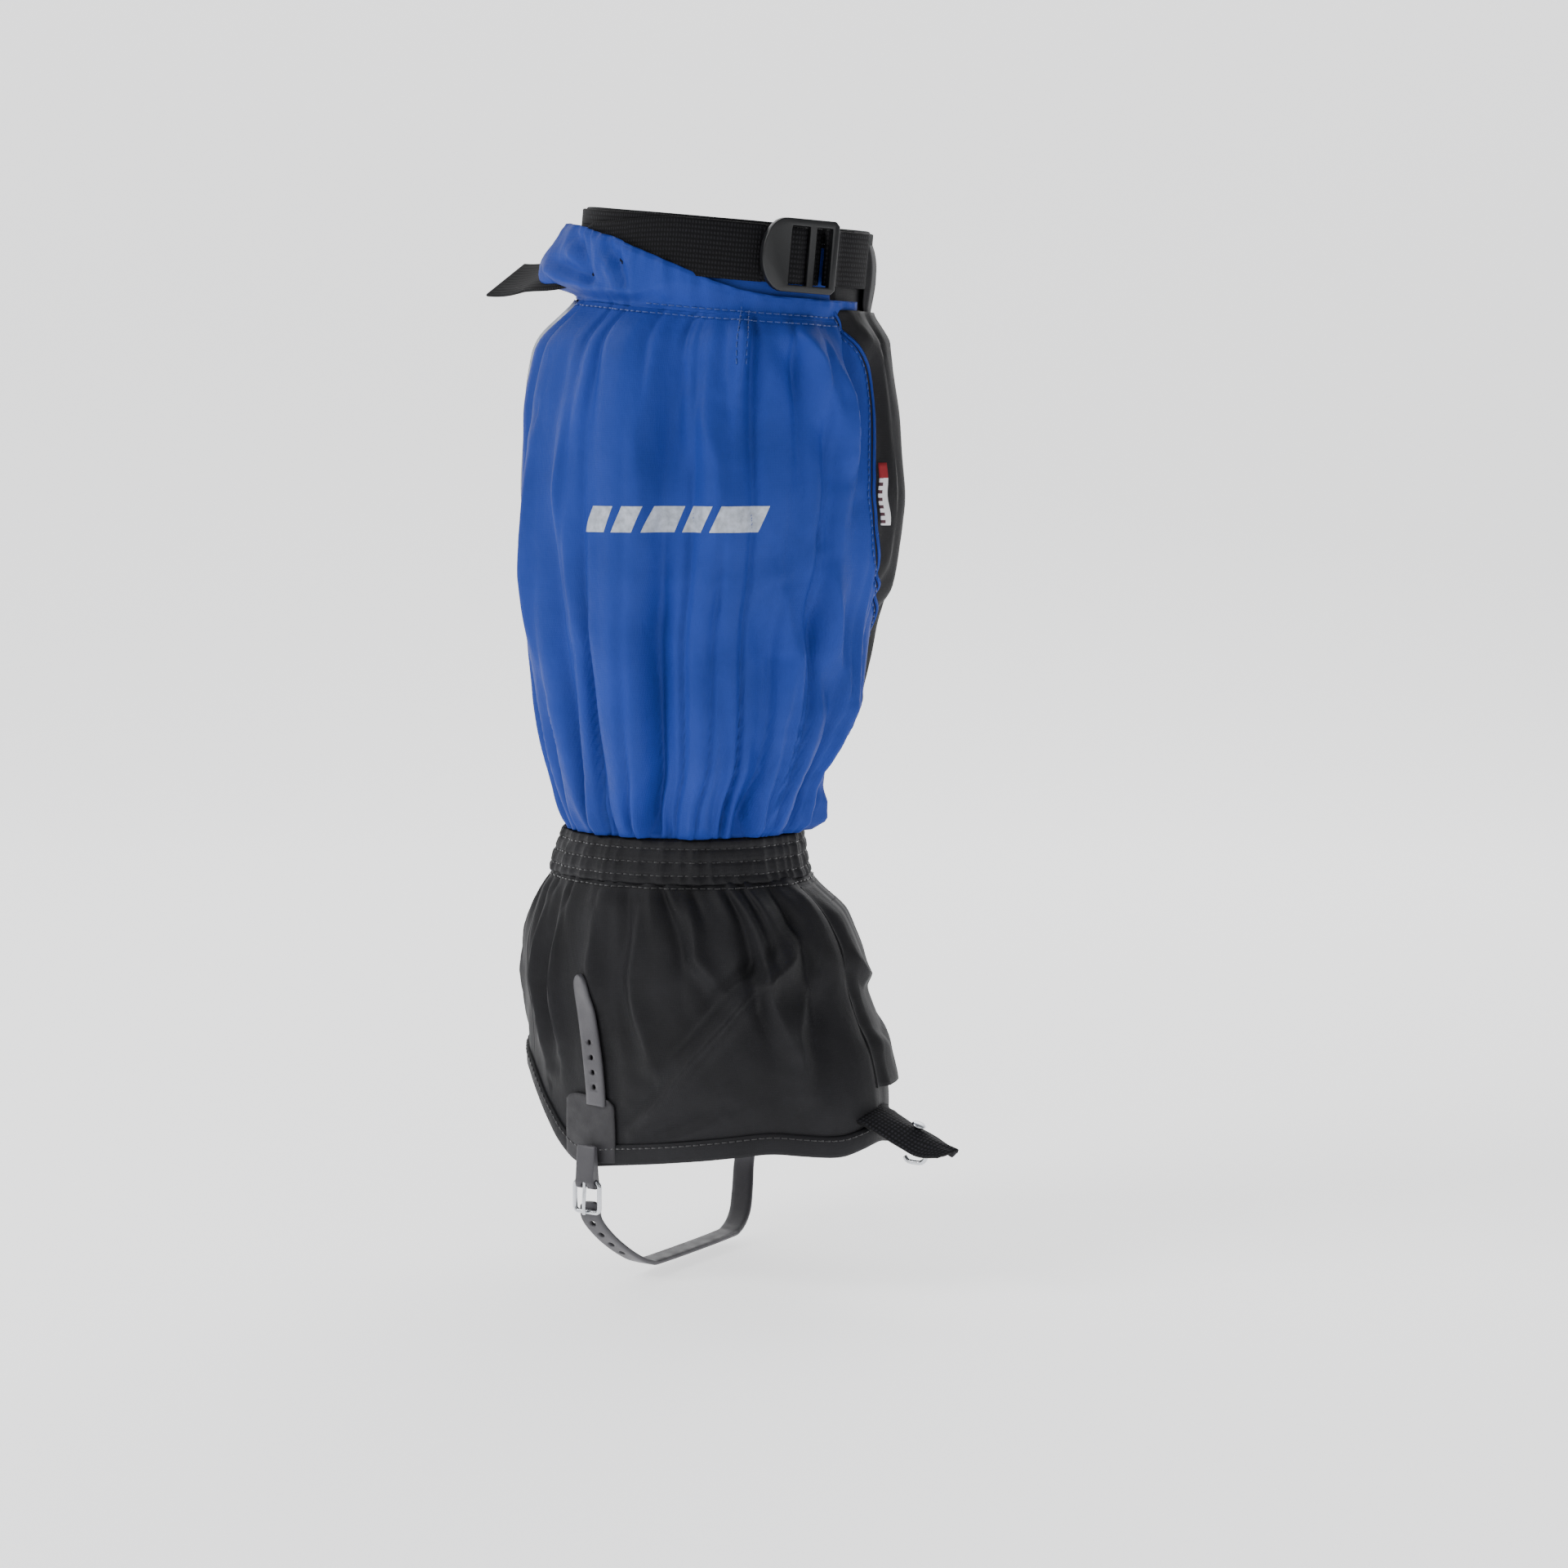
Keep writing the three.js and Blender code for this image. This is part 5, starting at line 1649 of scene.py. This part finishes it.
def stitchTree():
    # threads of a run of stitches: one short bar at every sample of each edge chain
    tree = bpy.data.node_groups.new("stitchRun", "GeometryNodeTree")
    sockets = {}
    tree.interface.new_socket("Geometry", in_out="INPUT", socket_type="NodeSocketGeometry")
    kinds = {"Spacing": "Float", "Length": "Float", "Radius": "Float", "Thread": "Material"}
    for name, kind in kinds.items():
        socket = tree.interface.new_socket(name, in_out="INPUT", socket_type="NodeSocket" + kind)
        sockets[name] = socket.identifier
    tree.interface.new_socket("Geometry", in_out="OUTPUT", socket_type="NodeSocketGeometry")
    values = addNode(tree, "NodeGroupInput").outputs
    curve = addNode(tree, "GeometryNodeMeshToCurve", None, {"Mesh": values["Geometry"]})
    links = {"Curve": curve.outputs["Curve"], "Length": values["Spacing"]}
    places = addNode(tree, "GeometryNodeResampleCurve", {"mode": "LENGTH"}, links)
    tangent = addNode(tree, "GeometryNodeInputTangent").outputs["Tangent"]
    along = addNode(tree, "FunctionNodeAlignRotationToVector", {"axis": "Z"}, {"Vector": tangent})
    links = {"Depth": values["Length"], "Radius": values["Radius"]}
    bar = addNode(tree, "GeometryNodeMeshCylinder", {"Vertices": 6}, links)
    links = {"Points": places.outputs["Curve"], "Rotation": along.outputs["Rotation"]}
    links["Instance"] = bar.outputs["Mesh"]
    bars = addNode(tree, "GeometryNodeInstanceOnPoints", None, links)
    solid = addNode(tree, "GeometryNodeRealizeInstances", None, {"Geometry": bars.outputs["Instances"]})
    links = {"Geometry": solid.outputs["Geometry"], "Material": values["Thread"]}
    coloured = addNode(tree, "GeometryNodeSetMaterial", None, links)
    addNode(tree, "NodeGroupOutput", None, {"Geometry": coloured.outputs["Geometry"]})
    return tree, sockets


stitchNodes, stitchSockets = stitchTree()
stitchSizes = {"Spacing": 0.0034, "Length": 0.0024, "Radius": 0.00026}


def stitches(name, lines, thread):
    # lines are lists of points; the thread lies on them
    points, edges = [], []
    for line in lines:
        base = len(points)
        points += [tuple(spot) for spot in line]
        edges += [(base + k, base + k + 1) for k in range(len(line) - 1)]
    mesh = bpy.data.meshes.new(name)
    mesh.from_pydata(points, edges, [])
    carrier = linkObject(name, mesh)
    modifier = carrier.modifiers.new("stitches", "NODES")
    modifier.node_group = stitchNodes
    for key, value in {**stitchSizes, "Thread": thread}.items():
        modifier[stitchSockets[key]] = value
    settle(carrier).shade_smooth()
    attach(carrier, "gaiter")


def clothLine(angles, heights, out, spots):
    a, h = np.broadcast_arrays(np.asarray(angles, float), np.asarray(heights, float))
    return spots(a[None, :], h[None, :], out)[0]


def makeStitches():
    around = np.linspace(-137, -9, 220)
    lines = [clothLine(around, rimLine(around, drop), 0.0009, upperSpots) for drop in (0.0398, 0.0435)]
    stitches("hemStitches", lines, blueThread)
    z = np.linspace(0.03, 0.236, 150)
    lines = [clothLine(angles, z, 0.0004, upperSpots) for angles in (seamAngle(z) - 2.2, backAngle(z) + 2.2)]
    tuck = np.linspace(0.215, 0.239, 20)
    lines += [clothLine(angle, tuck, 0.0005, upperSpots) for angle in (-47.5, -44.5)]
    stitches("panelStitches", lines, blueThread)
    around = np.linspace(0, 360, 500)
    low = clothLine(around, hemLine(around) + 0.0078, 0.0016, skirtSpots)
    high = clothLine(around, ankleLow - 0.0016, 0.0005, skirtSpots)
    stitches("skirtStitches", [low, high], blackThread)
    rows = [ankleSpots(around[None, :], row, 0.00075)[0] for row in ankleSetup["rows"]]
    stitches("elasticStitches", rows, blackThread)
    around = np.linspace(0, 360, 300)
    ring = rimPath(around, -0.0076 + 0 * around, 0.0009 + 0.0006 * rimWave(around))[0]
    inner = np.linspace(20, 203, 200)
    top = clothLine(inner, rimLine(inner, 0.0372), 0.0016, upperSpots)
    stitches("rimStitches", [ring, top], blackThread)


makeSeams()
makeStripes()
makeStitches()
print("seams, stripes and stitches made")


# ---- floor and light ----
lightSetup = {
    "key": {"place": (-0.95, -1.45, 1.35), "size": 0.8, "power": 26},
    "fill": {"place": (1.7, -1.0, 0.7), "size": 1.4, "power": 5},
    "back": {"place": (-0.4, 1.6, 1.2), "size": 1.2, "power": 10},
    "world": "F4F5F7",
    "floorGlow": 1.1,
    "worldPower": 0.34,
    "aim": (0.02, 0, 0.05),
    "floorGap": 0.004,
    "floorBend": 1.4,
    "floorReach": 1.5,
}


def makeStage():
    world = bpy.data.worlds.new("studio")
    bpy.context.scene.world = world
    world.use_nodes = True
    background = world.node_tree.nodes["Background"]
    background.inputs["Color"].default_value = linear(lightSetup["world"])
    background.inputs["Strength"].default_value = lightSetup["worldPower"]
    for name in ("key", "fill", "back"):
        setup = lightSetup[name]
        data = bpy.data.lights.new(name, "AREA")
        data.size = setup["size"]
        data.energy = setup["power"]
        lamp = linkObject(name, data)
        lamp.location = setup["place"]
        aim = Vector(lightSetup["aim"]) - lamp.location
        lamp.rotation_euler = aim.to_track_quat("-Z", "Y").to_euler()
    floorLevel = cadBox[0][2] - lightSetup["floorGap"]
    material, _, shader = startMaterial("paleFloor", "F4F4F5", 0.7, specular=0.1)
    shader.inputs["Emission Color"].default_value = (1, 1, 1, 1)
    shader.inputs["Emission Strength"].default_value = lightSetup["floorGlow"]
    away = math.radians(cameraSetup["azimuth"])
    into = Vector((-math.sin(away), math.cos(away), 0))
    side = Vector((math.cos(away), math.sin(away), 0))
    bend, reach = lightSetup["floorBend"], lightSetup["floorReach"]
    profile = [(-5.0, 0.0), (0.0, 0.0), (reach, 0.0)]
    for k in range(1, 13):
        t = math.radians(7.5 * k)
        profile.append((reach + bend * math.sin(t), bend * (1 - math.cos(t))))
    profile.append((reach + bend, 6.0))
    points, faces = [], []
    for d, h in profile:
        for x in (-7, 7):
            points.append(into * d + side * x + Vector((0, 0, floorLevel + h)))
    for k in range(len(profile) - 1):
        faces.append((2 * k, 2 * k + 1, 2 * k + 3, 2 * k + 2))
    mesh = bpy.data.meshes.new("floor")
    mesh.from_pydata(points, [], faces)
    mesh.polygons.foreach_set("use_smooth", [True] * len(faces))
    addPiece("floor", mesh, material)


makeStage()
